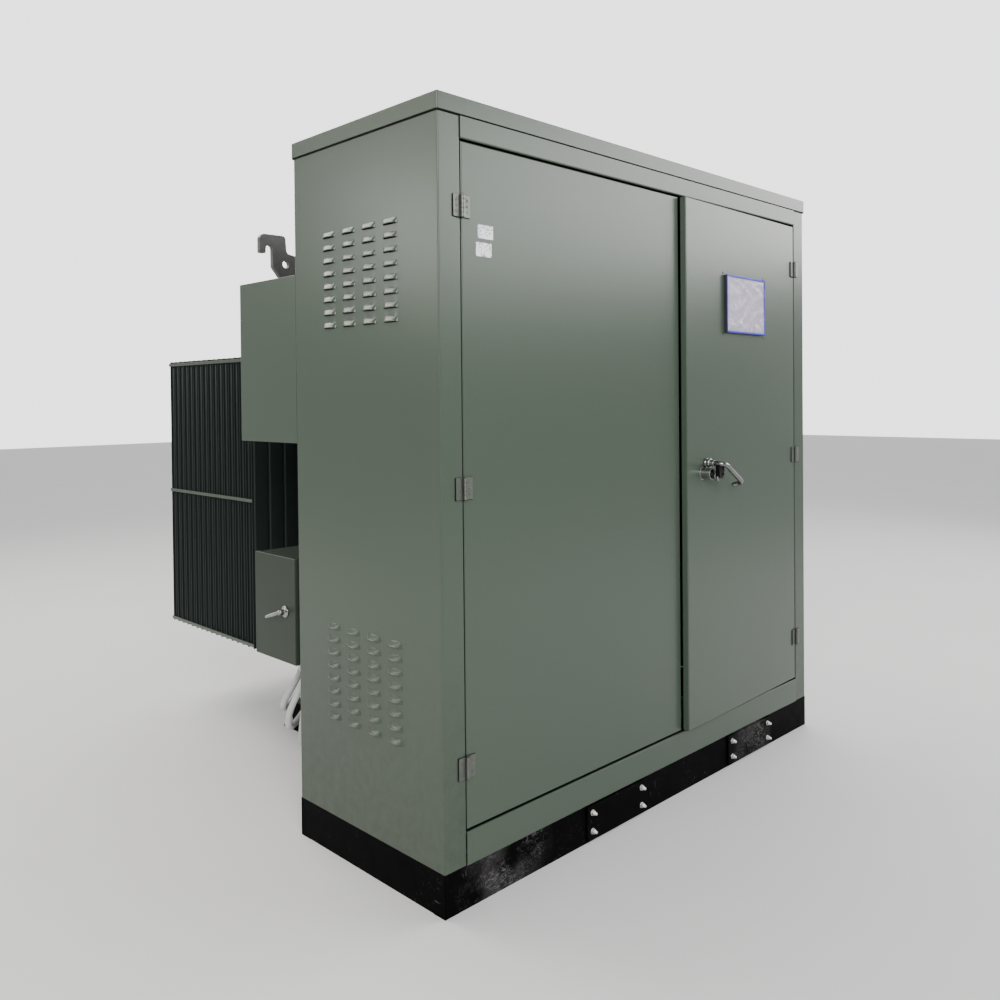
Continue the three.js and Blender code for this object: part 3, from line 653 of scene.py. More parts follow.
def pale_floor():
    made = Finish("pale_floor", 0.7)
    made.colour(made.blend(made.noise(2, 3), (0.74, 0.74, 0.74), (0.78, 0.78, 0.78)))
    made.rough(made.level(made.noise(8, 3), 0.3, 0.7, 0.62, 0.75))
    return made.material


OLIVE = (0.06, 0.083, 0.06)
DUST = (0.09, 0.088, 0.062)
GREEN = enamel("green_enamel", OLIVE, 0.27, DUST)
# Side panels: a dark green film at strength 0.75 towards the ground, painted shade darkening the panels'
# lower part.
GREEN_SIDE_SHADED_LOW = enamel("green_enamel_side_shaded_low", OLIVE, 0.27, (0.03, 0.036, 0.022), dust_and_shade_amount=0.75)
# The control box's green is darkened to 0.55 with less shine: painted shade for the box standing in the
# cabinet's shadow.
SHADED_GREEN_BOX = enamel("green_enamel_box_painted_shade", shade(OLIVE, 0.55), 0.32, DUST, shine=0.15)
GREEN_INSIDE = enamel("green_enamel_inside", shade(OLIVE, 1.05), 0.34, DUST, dust_and_shade_amount=0.08)
DARK_GREEN = enamel("dark_green_enamel", (0.018, 0.024, 0.022), 0.3, (0.03, 0.034, 0.03), 0.0002,
                    shine=0.28)
BLACK = base_black()
ZINC = metal("zinc_plate", (0.72, 0.72, 0.7), (0.4, 0.4, 0.36), 0.3)
GALVANISED = metal("galvanised_sheet", (0.55, 0.57, 0.58), (0.34, 0.35, 0.35), 0.42, scale=24, bump=0.00003)
STEEL = metal("satin_steel", (0.17, 0.18, 0.16), (0.1, 0.1, 0.085), 0.42, (1, 1, 0.1), 300)
PRIMED = metal("primed_steel", (0.15, 0.15, 0.146), (0.05, 0.048, 0.045), 0.5, spots=0.5, bump=0.0002)
BAR_STEEL = metal("dark_polished_steel", (0.22, 0.225, 0.22), (0.12, 0.12, 0.11), 0.1, (1, 1, 0.2), 260,
                  0.1, 0.00002)
PLATED = metal("plated_steel", (0.36, 0.37, 0.35), (0.2, 0.2, 0.19), 0.28)
DARK_STEEL = metal("blackened_steel", (0.03, 0.03, 0.03), (0.02, 0.02, 0.018), 0.4)
BRASS = metal("brass", (0.62, 0.44, 0.17), (0.3, 0.2, 0.08), 0.3)
COPPER = metal("tinned_copper", (0.7, 0.69, 0.66), (0.5, 0.38, 0.28), 0.32, (0.2, 1, 1), 240)
CAST_IRON = metal("cast_iron", (0.12, 0.12, 0.125), (0.08, 0.06, 0.05), 0.58, spots=0.6, bump=0.0004)
RUBBER = moulded("black_rubber", (0.003, 0.003, 0.003), 0.6, Specular_IOR_Level=0.08)
PLASTIC = moulded("black_plastic", (0.02, 0.02, 0.021), 0.42)
BLUE_PLASTIC = moulded("blue_plastic", (0.045, 0.035, 0.62), 0.4, Specular_IOR_Level=0.15)
YELLOW = moulded("yellow_plastic", (0.72, 0.42, 0.03), 0.38)
WHITE_PLASTIC = moulded("white_plastic", (0.72, 0.73, 0.72), 0.35)
RED_PLASTIC = moulded("red_plastic", (0.5, 0.03, 0.025), 0.35)
EPOXY = moulded("epoxy_resin", (0.16, 0.055, 0.035), 0.28, 200, 0.0001)
CONDUIT = moulded("conduit_jacket", (0.5, 0.51, 0.5), 0.42, 300, 0.0001)
PAPER = paper_sheet()
TAG = tag_sheet()
FILM = clear_film()
CORE_STEEL = banded("core_laminations", (0.3, 0.3, 0.32), (0.1, 0.09, 0.09), 0.9, 0.45, 260, "Y", 0.0004)
WINDING = banded("winding_paper", (0.5, 0.34, 0.17), (0.24, 0.14, 0.06), 0.0, 0.7, 90, "Z", 0.0012)

camera()

# Conduits -----------------------------------------------------------------------------------
CONDUIT_R = 11
TANK_LEFT = 500
TANK_BACK = 1500
GLAND_LENGTH = 30
CONDUIT_END = TANK_LEFT - GLAND_LENGTH - 0.3
CONDUIT_TOP = 503.7
CONDUIT_ROUTES = [
    [(112, 870, CONDUIT_TOP), (112, 870, 478), (100, 872, 450), (76, 876, 412), (52, 882, 372),
     (58, 898, 346), (100, 936, 338), (170, 1006, 338), (250, 1086, 342), (340, 1176, 347),
     (400, 1236, 350), (425, 1258, 351), (440, 1266, 352), (CONDUIT_END, 1266, 352)],
    [(75, 775, CONDUIT_TOP), (75, 775, 484), (60, 777, 460), (38, 780, 420), (14, 786, 368),
     (16, 798, 326), (48, 830, 304), (110, 892, 296), (190, 972, 294), (280, 1062, 296),
     (360, 1142, 298), (405, 1188, 299), (440, 1206, 300), (CONDUIT_END, 1206, 300)],
    [(45, 745, CONDUIT_TOP), (45, 745, 478), (46, 746, 430), (44, 748, 380), (38, 752, 320),
     (44, 764, 272), (84, 804, 246), (150, 870, 240), (230, 950, 239), (310, 1030, 240),
     (380, 1100, 242), (412, 1128, 244), (440, 1140, 245), (CONDUIT_END, 1140, 245)],
]
RIB_PITCH = 5.0


def smooth_line(points, step):
    """The centripetal Catmull-Rom line through points, with even steps of about that length."""
    pts = [Vector(p) for p in points]
    pts = [pts[0] * 2 - pts[1], *pts, pts[-1] * 2 - pts[-2]]
    fine = []
    for a, b, c, d in zip(pts, pts[1:], pts[2:], pts[3:]):
        t1 = (b - a).length ** 0.5
        t2 = t1 + (c - b).length ** 0.5
        t3 = t2 + (d - c).length ** 0.5
        for k in range(24):
            t = t1 + (t2 - t1) * k / 24
            p = a.lerp(b, t / t1)
            q = b.lerp(c, (t - t1) / (t2 - t1))
            r = c.lerp(d, (t - t2) / (t3 - t2))
            fine.append(p.lerp(q, t / t2).lerp(q.lerp(r, (t - t1) / (t3 - t1)), (t - t1) / (t2 - t1)))
    fine.append(pts[-2])
    lengths = [0.0]
    for p, q in zip(fine, fine[1:]):
        lengths.append(lengths[-1] + (q - p).length)
    count = max(2, round(lengths[-1] / step))
    even, k = [], 0
    for i in range(count + 1):
        want = lengths[-1] * i / count
        while k < len(fine) - 2 and lengths[k + 1] < want:
            k += 1
        even.append(fine[k].lerp(fine[k + 1], (want - lengths[k]) / (lengths[k + 1] - lengths[k])))
    return even, lengths[-1]


def conduits():
    for i, route in enumerate(CONDUIT_ROUTES):
        line, length = smooth_line(route, RIB_PITCH / 4)
        last = len(line) - 1
        piece = Piece(f"flexible_conduit_{i + 1}")
        piece.sweep(line, lambda t: CONDUIT_R * (0.955 + 0.045 * math.cos(t * last * math.pi / 2)), 20)
        obj = piece.done(CONDUIT, "conduit_jacket", replaces=[f"conduit_{i + 1}"], angle=60)


conduits()


def gland(piece, place, axis, length):
    """A cable gland: a hexagon body, a dome nut and its sealing lip, out along the axis."""
    place, axis = Vector(place), Vector(axis).normalized()
    piece.lathe([(0, 0), (17, 0), (17.5, 1), (17.5, 3), (0, 3)], place, axis, 28)
    piece.hexagon(place + axis * 3, axis, 32, 9)
    dome = [(0, 0), (15.6, 0), (16.2, 2), (16.2, length - 20), (14.6, length - 14), (12.4, length - 12.2),
            (11.3, length - 12), (0, length - 12)]
    piece.lathe(dome, place + axis * 12, axis, 28)
    for k in range(12):
        angle = 2 * math.pi * k / 12
        side = turned_to(axis) @ Vector((math.cos(angle), math.sin(angle), 0))
        piece.rod(place + axis * 13.5 + side * 15.6, place + axis * (length - 8) + side * 15.6, 1.3, 8, 0.5)


# Cabinet ------------------------------------------------------------------------------------
LOUVRE_COLUMNS = (205, 305, 405, 505)
LOUVRE_BANKS = (424, 1608)
LOUVRE_ROWS = 8
LOUVRE_PITCH = 39
LOUVRE_HALF = 31
LOUVRE_SLOT = 3.6
LOUVRE_TALL = 18
LOUVRE_OUT = 11
POST = 79
JAMB = 28
SHEET = 3
BEND = 4.5


def side_panel(name, node, turn):
    """One folded sheet, grid-built so that the louvres can be pressed out of it."""
    bottom, top = span(node)[0].z, BODY_TOP
    outline = [(POST, JAMB, 1, 0)]
    for a, b in arc((POST - BEND, BEND), BEND, 0, -90, 5):
        outline.append((a, b, (a - POST + BEND) / BEND, (b - BEND) / BEND))
    for a, b in arc((BEND, BEND), BEND, -90, -180, 5):
        outline.append((a, b, (a - BEND) / BEND, (b - BEND) / BEND))
    for y in LOUVRE_COLUMNS:
        outline += [(0, y + u, -1, 0) for u in (-31, -29.5, -26.5, -21, -10, 0, 10, 21, 26.5, 29.5, 31)]
    for a, b in arc((BEND, DEPTH - BEND), BEND, 180, 90, 5):
        outline.append((a, b, (a - BEND) / BEND, (b - DEPTH + BEND) / BEND))
    outline.append((30, DEPTH, 0, 1))
    lips = [bank + row * LOUVRE_PITCH - 4 for bank in LOUVRE_BANKS for row in range(LOUVRE_ROWS)]
    levels = [(bottom, None, False)]
    for lip in lips:
        levels.append((lip, None, False))
        levels += [(lip + v, lip, v == 0) for v in (0, 4.5, 7, 10, 13, 16, LOUVRE_TALL)]
    levels.append((top, None, False))
    piece = Piece(name)
    bm = piece.bm
    rows = []
    for z, lip, split in levels:
        row = []
        for k, (x, y, nx, ny) in enumerate(outline):
            out = 0.0
            near = min(LOUVRE_COLUMNS, key=lambda c: abs(c - y))
            if lip is not None and x == 0 and abs(y - near) < LOUVRE_HALF - 0.01:
                share = abs(y - near) / LOUVRE_HALF
                rise = (1 - ((z - lip) / LOUVRE_TALL) ** 1.25) ** 0.9
                out = LOUVRE_OUT * (1 - share ** 3.5) ** 0.6 * rise
            if lip is not None and out == 0.0 and split:
                row.append(rows[-1][k])
            else:
                lift = LOUVRE_SLOT * out / LOUVRE_OUT if split else 0
                row.append(bm.verts.new((x + nx * out, y + ny * out, z + lift)))
        rows.append(row)
    for r, (low, high) in enumerate(zip(rows, rows[1:])):
        if levels[r + 1][2]:
            continue
        for k in range(len(outline) - 1):
            bm.faces.new((low[k], low[k + 1], high[k + 1], high[k]))
    bm.normal_update()
    if sum(f.normal.x * f.calc_area() for f in bm.faces) > 0:
        bmesh.ops.reverse_faces(bm, faces=list(bm.faces))
    bmesh.ops.solidify(bm, geom=list(bm.faces), thickness=SHEET * 0.8)
    # The sheet's enamel darkens towards the ground: painted shade.
    piece.done(GREEN_SIDE_SHADED_LOW, "green_paint", replaces=[node], turn=turn, angle=38)


def folded(piece, path, axis, start, end, thick=SHEET, bend=4.5):
    piece.prism(strip(path, thick, bend), axis, start, end)


# The lock rods pass through a slot in the return flange of the header and of the sill.
KEEPER = (1208, 1242)
KEEPER_LIP = 8


def past_keeper(x0, x1):
    """The three lengths of a flange with the lock rods' slot in it: from, to and how deep."""
    return (x0, KEEPER[0], JAMB), (*KEEPER, KEEPER_LIP), (KEEPER[1], x1, JAMB)


def front_rails():
    x0, x1, _, _, z0, z1 = sides("header_rail")
    header = Piece("header_rail_sheet")
    z0 += DOOR_EASE
    for a, b, deep in past_keeper(x0, x1):
        folded(header, [(deep, z0), (0, z0), (0, z1), (40, z1)], "x", a, b)
    header.done(GREEN, "green_paint", replaces=["header_rail"])
    x0, x1, _, _, z0, z1 = sides("sill_rail")
    sill = Piece("sill_rail_sheet")
    z1 -= DOOR_EASE
    for a, b, deep in past_keeper(x0, x1):
        folded(sill, [(40, z0), (0, z0), (0, z1), (deep, z1)], "x", a, b)
    sill.done(GREEN, "green_paint", replaces=["sill_rail"])


def roof():
    x0, x1, y0, y1, z0, z1 = sides("roof_cover")
    deep = z1 - z0
    contour = [(340, -3), *arc((2.6, 2.6), 2.6, -90, -180, 4), (0, deep - 0.6), (0.6, deep),
               (SHEET - 0.6, deep), (SHEET, deep - 0.6), (SHEET, 5), (5, SHEET), (340, SHEET - 3)]
    piece = Piece("roof_cover_sheet")
    piece.pan(x0, x1, y0, y1, contour, 5, lambda u, v, d: (u, v, z1 - d))
    piece.done(GREEN, "green_paint", replaces=["roof_cover"], angle=40)
    # A black rubber strip all round under the roof's lip: painted shadow for the dark gap under the lip.
    seal_and_shadow_strip = Piece("roof_shadow_strip")
    low, high = z0 - 4, z0 + 8
    for y in (-1.7, DEPTH + 1.7):
        seal_and_shadow_strip.box(-3.4, WIDTH + 3.4, y - 1.6, y + 1.6, low, high, 0.5, 1)
    for x in (-1.7, WIDTH + 1.7):
        seal_and_shadow_strip.box(x - 1.6, x + 1.6, 0, DEPTH, low, high, 0.5, 1)
    seal_and_shadow_strip.done(RUBBER, "black_plastic")


def channel(piece, axis, start, end, web, tip, height, wall=6):
    """A rolled channel: taper flanges, rounded toes and root fillets. web and tip are across the axis."""
    way = 1 if tip > web else -1
    reach = abs(tip - web)
    half = [(0, 0, 1.2), (reach, 0, 1.0), (reach, wall * 0.8, 2.4), (wall, wall * 1.25, 5)]
    outline = half + [(a, height - b, r) for a, b, r in half[::-1]]
    flat = [(web + way * a, b) for a, b in rounded(outline, 4)]
    piece.prism(flat, axis, start, end)


def base():
    piece = Piece("base_channels")
    flange = 48
    channel(piece, "x", 0, WIDTH, 0, flange, BASE_TOP)
    channel(piece, "x", 0, WIDTH, DEPTH, DEPTH - flange, BASE_TOP)
    channel(piece, "y", 2, DEPTH - 2, 0.4, flange, BASE_TOP - 0.4)
    channel(piece, "y", 2, DEPTH - 2, WIDTH - 0.4, WIDTH - flange, BASE_TOP - 0.4)
    for x in (0.5, WIDTH - 0.5):
        for y in (2.5, DEPTH - 2.5):
            piece.bead((x, y, 3), (x, y, BASE_TOP - 3), 2.2)
    piece.done(BLACK, "black_paint", replaces=["base_frame"], angle=35)
    bolts = Piece("base_plate_bolts")
    for name, node, inset in (("left", "base_cover_plate_left", 23),
                              ("right", "base_cover_plate_right", 25)):
        x0, x1, y0, y1, z0, z1 = sides(node)
        plate = Piece(f"base_plate_{name}")
        plate.box(x0, x1, y0, y1, z0, z1, 1.4, 3)
        plate.done(BLACK, "black_paint", replaces=[node])
        for x in (x0 + inset, x1 - inset):
            for z in (34, 92):
                bolts.bolt((x, y0, z), (0, -1, 0), 8.5, head=False, stud=9)
    bolts.done(ZINC, "zinc_plate")
    skid = Piece("skid_channels")
    x0, x1, y0, y1, _, _ = sides("tank_skid")
    right = WIDTH - x0
    for web, tip in ((x0 + flange, x0), (right - flange, right)):
        channel(skid, "y", y0, y1, web, tip, BASE_TOP)
    cross = ((y0, y0 + flange), (1091, 1139), (1500, 1452))
    for web, tip in cross:
        channel(skid, "x", x0 + flange - 1, right - flange + 1, web, tip, BASE_TOP - 0.6)
        for x in (x0 + flange, right - flange):
            skid.bead((x, web, 6), (x, web, BASE_TOP - 6), 2.5)
    skid.done(BLACK, "black_paint", replaces=["tank_skid"], angle=35)


# Doors --------------------------------------------------------------------------------------
DOOR_BOTTOM, DOOR_TOP = 214, 2086
DOOR_EASE = 2.4
LEFT_DOOR = (82, 1096)
RIGHT_DOOR = (1103, 1918)
DOOR_DEEP = 25
DOOR_BEND = 4
HINGES = {"upper": 1907, "middle": 1145, "lower": 388}
HINGE_TALL = 60
BARREL_R = 6.5


def door_skin(name, x0, x1, body, node, turn):
    thick = 2.5
    contour = [*arc((DOOR_BEND, DOOR_BEND), DOOR_BEND, -90, -180, 5), (0, DOOR_DEEP - 3),
               *arc((3, DOOR_DEEP - 3), 3, 180, 90, 3), (19.6, DOOR_DEEP), (20, DOOR_DEEP - 0.6),
               (20, DOOR_DEEP - thick), (thick + 0.6, DOOR_DEEP - thick), (thick, DOOR_DEEP - thick - 0.6),
               (thick, DOOR_BEND), (DOOR_BEND, thick)]
    piece = Piece(name)
    piece.pan(x0, x1, DOOR_BOTTOM + DOOR_EASE, DOOR_TOP - DOOR_EASE, contour, 1.6, lambda u, v,
              d: (u, d, v))
    piece.done(GREEN, "green_paint", body, [node], turn, angle=40)


def stiffeners(name, x0, x1, body, turn, gap):
    """Hat sections spot-welded inside the door skin. gap is where the lock rods pass."""
    piece = Piece(name)
    for z in (640, 1640):
        hat = [(2.7, z - 50), (2.7, z - 28), (20, z - 24), (20, z + 24), (2.7, z + 28), (2.7, z + 50)]
        outline = strip(hat, 1.6, 3.2)
        for a, b in ((x0 + 22, gap[0]), (gap[1], x1 - 22)) if gap else ((x0 + 22, x1 - 22),):
            piece.prism(outline, "x", a, b)
        for x in range(int(x0) + 60, int(x1) - 40, 110):
            for dz in (-40, 40):
                piece.lathe([(0, 0), (3.4, 0), (2.6, 0.7), (0, 0.9)], (x, 4.2, z + dz), (0, 1, 0), 12)
    piece.done(GREEN_INSIDE, "green_paint", body, turn=turn)


def knuckles(piece, seam, reach, z, first):
    """A hinge leaf with its knuckles at every other place."""
    segment = HINGE_TALL / 5
    low = z - HINGE_TALL / 2
    a, b = seam + reach * 5.5, seam + reach * 30
    x0, x1 = min(a, b), max(a, b)
    leaf = rounded([(x0, low, 2.5 if reach < 0 else 0.6), (x1, low, 2.5 if reach > 0 else 0.6),
                    (x1, low + HINGE_TALL, 2.5 if reach > 0 else 0.6),
                    (x0, low + HINGE_TALL, 2.5 if reach < 0 else 0.6)], 3)
    piece.prism(leaf, "y", -4.4, -1.6, 0.5)
    for k in range(first, 5, 2):
        start, end = low + k * segment + 0.2, low + (k + 1) * segment - 0.2
        piece.rod((seam, -HINGE_OUT, start), (seam, -HINGE_OUT, end), BARREL_R, 32, 0.5)
        t0, t1 = min(seam, a + reach), max(seam, a + reach)
        piece.box(t0, t1, -4.4, -1.6, start, end, 0.3, 1)
    centre = seam + reach * 20
    for dz in (-16, 0, 16):
        piece.lathe([(0, 0), (3.4, 0), (3.2, 0.5), (2.2, 1.1), (0, 1.3)], (centre, -4.4, z + dz),
                    (0, -1, 0), 16)


def hinge_shadow_strip(name, seam, reach, z, body, turn):
    """A black rubber strip under a hinge leaf, a little larger than the leaf: painted shadow for the leaf's
    shaded edge and the shadow it casts.
    """
    a, b = seam + reach * 5, seam + reach * 31.2
    shadow_strip = Piece(name)
    shadow_strip.box(min(a, b), max(a, b), -1.7, -0.1, z - HINGE_TALL / 2 - 1.4, z + HINGE_TALL / 2 + 0.6, 0.4,
                1)
    shadow_strip.done(RUBBER, "black_plastic", body, turn=turn)


def hinges():
    for place, z in HINGES.items():
        for side, seam, reach, body, turn in (("left", HINGE_SEAM, 1, "left_door", None),
                                              ("right", RIGHT_SEAM, -1, "right_door", AJAR)):
            fixed = Piece(f"{side}_hinge_{place}_frame_leaf")
            knuckles(fixed, seam, -reach, z, 0)
            pin = [(0, 0), (3.6, 0), (4.2, 1.0), (3.0, 2.2), (3.0, 61.8), (4.2, 63), (3.6, 64), (0, 64)]
            fixed.lathe(pin, (seam, -HINGE_OUT, z - 32), (0, 0, 1), 20)
            fixed.done(STEEL, "bare_steel", replaces=[f"{side}_hinge_{place}"])
            moving = Piece(f"{side}_hinge_{place}_door_leaf")
            knuckles(moving, seam, reach, z, 1)
            moving.done(STEEL, "bare_steel", body, turn=turn)
            # Painted shadow: a black strip under each leaf.
            hinge_shadow_strip(f"{side}_hinge_{place}_frame_packing", seam, -reach, z, "unit", None)
            hinge_shadow_strip(f"{side}_hinge_{place}_door_packing", seam, reach, z, body, turn)


HANDLE = {"x": 1225, "z": 1150}


def door_handle():
    x, z = HANDLE["x"], HANDLE["z"]
    bar = Piece("door_handle_bar")
    line, _ = smooth_line([(x, 2, z), (x, -28, z), (x + 4, -55, z - 1), (x + 13, -66, z - 3),
                           (x + 27, -69.5, z - 9),
                           (x + 60, -69.5, z - 29), (x + 100, -68.5, z - 53), (x + 128, -67, z - 70),
                           (x + 137, -62, z - 76), (x + 139, -54, z - 80), (x + 136, -42, z - 84),
                           (x + 129, -30, z - 88)], 3)
    bar.sweep(line, lambda t: 8.8 * min(1, 0.6 + 14 * (1 - t)), 24)
    bar.done(BAR_STEEL, "chrome", "door_handle", ["door_handle"], AJAR)
    hub = Piece("door_handle_hub")
    hub.lathe([(0, 0), (16.6, 0), (17.4, 1.4), (17.4, 6), (16.4, 7.4), (13.4, 8), (13.2, 12), (16.4, 12.8),
               (17.2, 14.2), (17.2, 19), (16, 20.6), (12.6, 21.4), (12.2, 27), (11.4, 33),
               (10.4, 34.5), (8.2, 35), (0, 35)], (x, -0.4, z), (0, -1, 0), 36)
    hub.done(PLATED, "chrome", "door_handle", turn=AJAR)
    lug = Piece("door_handle_lug")
    outline = rounded([(x - 8, z - 4, 3), (x + 26, z - 8, 5), (x + 24, z - 42, 8), (x + 16, z - 52, 7),
                       (x - 3, z - 52, 6), (x - 8, z - 42, 5)], 4)
    hole = arc((x + 15, z - 38), 4.5, 0, 345, 23)
    lug.prism(outline, "y", -60, -44, 1.2, [hole])
    lug.done(DARK_STEEL, "bare_steel", "door_handle", turn=AJAR)
    pin = Piece("door_handle_lug_pin")
    pin.lathe([(0, 0), (4.4, 0), (5, 0.8), (5, 13), (4, 15), (2, 16), (0, 16)], (x - 3, -48, z - 46),
              (0, -0.15, -1), 20)
    pin.done(PLATED, "zinc_plate", "door_handle", turn=AJAR)
    cam = Piece("lock_cam")
    face = rounded([(x - 36, z - 6, 8), (x - 20, z - 26, 12), (x + 20, z - 26, 12), (x + 36, z - 6, 8),
                    (x + 36, z + 6, 8), (x + 20, z + 26, 12), (x - 20, z + 26, 12), (x - 36, z + 6, 8)], 4)
    cam.prism(face, "y", 28.2, 33.8, 0.8)
    cam.rod((x, -0.5, z), (x, 36, z), 8.4, 28)
    cam.hexagon((x, 33.6, z), (0, 1, 0), 18, 4)
    for dz in (-24, 24):
        cam.rod((x, 33, z + dz), (x, 37.4, z + dz), 5, 20)
    cam.done(ZINC, "zinc_plate", "door_handle", turn=AJAR)
    x0, z0 = x - 22, z - 36
    shroud = Piece("bolt_shroud_tube")
    shroud.lathe([(0, 4), (16.9, 4), (16.9, 39.2), (17.6, 40), (20.2, 40), (21, 39.2), (21, 0), (0, 0)],
                 (x0, -0.2, z0), (0, -1, 0), 44)
    shroud.ring((x0, -1.2, z0), (0, 1, 0), 21.5, 1.6)
    shroud.done(PLATED, "zinc_plate", "right_door", ["bolt_shroud"], AJAR)
    bolt = Piece("captive_security_bolt")
    bolt.lathe([(0, 0), (13, 0), (14, 1), (14, 3), (0, 3.4)], (x0, -4.4, z0), (0, -1, 0), 32)
    bolt.hexagon((x0, -7.4, z0), (0, -1, 0), 17, 11, 5)
    bolt.done(STEEL, "bare_steel", "right_door", turn=AJAR)


def lock_rods():
    x = HANDLE["x"]
    for name, z0, z1 in (("upper", HANDLE["z"] + 12, 2080), ("lower", 220, HANDLE["z"] - 12)):
        rod = Piece(f"lock_rod_{name}_bar")
        rod.box(x - 9, x + 9, 38.1, 43.9, z0, z1, 1.0, 3)
        rod.done(ZINC, "zinc_plate", f"lock_rod_{name}", [f"lock_rod_{name}"], AJAR)
    guides = Piece("lock_rod_guides")
    for z in (330, 720, 1560, 1990):
        shape = strip([(2.6, z - 18), (36.6, z - 18), (36.6, z + 18), (2.6, z + 18)], 1.6, 3)
        for a, b in ((x - 24, x - 10.5), (x + 10.5, x + 24)):
            guides.prism(shape, "x", a, b)
        guides.box(x - 26, x + 26, 44.8, 47.6, z - 16, z + 16, 0.8)
        for dx in (-18, 18):
            guides.rod((x + dx, 36, z), (x + dx, 46, z), 3.5, 12)
            guides.bolt((x + dx, 47.6, z), (0, 1, 0), 5)
    guides.done(ZINC, "zinc_plate", "right_door", turn=AJAR)


def document_holder():
    x0, x1, z0, z1 = 1359, 1650, 1623, 1836
    # The tray's walls are black plastic: painted shade for the holder's shaded sides, under the blue rim.
    tray = Piece("document_holder_tray")
    contour = [(8, -9.5), (4, -11.5), (1.2, -12), (0, -11), (0, -0.3), (10, -0.3), (10, -6), (9, -9.3)]
    tray.pan(x0, x1, z0, z1, contour, 4, lambda u, v, d: (u, d, v))
    tray.done(PLASTIC, "black_plastic", "right_door", turn=AJAR)
    rim = Piece("document_holder_rim")
    for a, b, c, d in ((x0, x0 + 6, z0, z1), (x1 - 6, x1, z0, z1), (x0, x1, z0, z0 + 7),
                       (x0, x1, z1 - 7, z1)):
        rim.box(a + 0.3, b - 0.3, -14.2, -12, c + 0.3, d - 0.3, 0.8)
    rim.done(BLUE_PLASTIC, "black_plastic", "right_door", turn=AJAR)

    def paper_spot(u, v):
        hold = math.sin(math.pi * u) * math.sin(math.pi * v)
        lift = 0.5 * math.sin(7 * u + 2 * v) * math.sin(5 * v + u) * hold
        return x0 + 9 + (x1 - x0 - 18) * u, -10.3 + lift, z0 + 9 + (z1 - z0 - 18) * v

    def film_spot(u, v):
        hold = min(1, 12 * min(u, 1 - u, v, 1 - v))
        crease = (abs(math.sin(9 * u + 6 * v + 1.3 * math.sin(7 * v))) ** 3
                  + abs(math.sin(11 * v - 5 * u + 1.7 * math.sin(6 * u))) ** 4)
        return x0 + 6 + (x1 - x0 - 12) * u, -12.6 - 2.6 * hold * crease, z0 + 6 + (z1 - z0 - 12) * v

    sheet = Piece("document_sheet")
    sheet.sheet(24, 18, 0.5, paper_spot)
    sheet.done(PAPER, "winding_paper", "right_door", turn=AJAR, angle=50)
    film = Piece("document_film")
    film.sheet(60, 44, 0.25, film_spot)
    film.done(FILM, "conduit_jacket", "right_door", turn=AJAR, angle=60)
    rivets = Piece("document_holder_rivets")
    for x in (x0 - 7, x1 + 7):
        for z in (z0 - 5, z1 + 5):
            rivets.lathe([(0, 0), (4, 0), (3.8, 1), (2.4, 2), (0, 2.4)], (x, -0.1, z), (0, -1, 0), 20)
    rivets.done(PLASTIC, "black_plastic", "right_door", turn=AJAR)


def stickers():
    for k, (x0, x1, z0, z1) in enumerate(((142, 200, 1829, 1867), (135, 194, 1779, 1818))):
        tag = Piece(f"door_tag_{k + 1}")
        outline = rounded([(x0, z0, 3), (x1, z0, 3), (x1, z1, 3), (x0, z1, 3)], 4)
        tag.prism(outline, "y", -0.6, 0.1, 0.15)
        tag.done(TAG, "winding_paper", "left_door")


def door_seals_and_gap_shade():
    """A rubber bulb sealing strip round the frame's opening, behind the doors, and a thin black lining on
    the opening's edges: painted shade, so the door gaps read dark.
    """
    piece = Piece("frame_seal_and_gap_shade")
    inner, outer = (POST + 0.2, DOOR_BOTTOM - 3.8), (WIDTH - POST - 0.2, DOOR_TOP + 3.8)
    # Painted shade: thin black linings on the header's, sill's and jambs' faces that show through the door
    # gaps.
    for z in (inner[1] - 1.2, outer[1] - 0.8):
        for a, b, deep in past_keeper(inner[0], outer[0]):
            piece.box(a, b, 1.2, deep - 1, z, z + 2, 0.2, 1)
    for x in (inner[0], outer[0] - 1.2):
        piece.box(x, x + 1.2, 1.2, JAMB - 1, inner[1], outer[1], 0.2, 1)
    x0, x1, z0, z1, y = POST - 6, WIDTH - POST + 6, 206, 2094, 31.5
    for x in (x0, x1):
        piece.rod((x, y, z0), (x, y, z1), 3.2, 14)
    for z in (z0, z1):
        piece.rod((x0, y, z), (KEEPER[0], y, z), 3.2, 14)
        piece.rod((KEEPER[1], y, z), (x1, y, z), 3.2, 14)
    piece.done(RUBBER, "black_plastic")


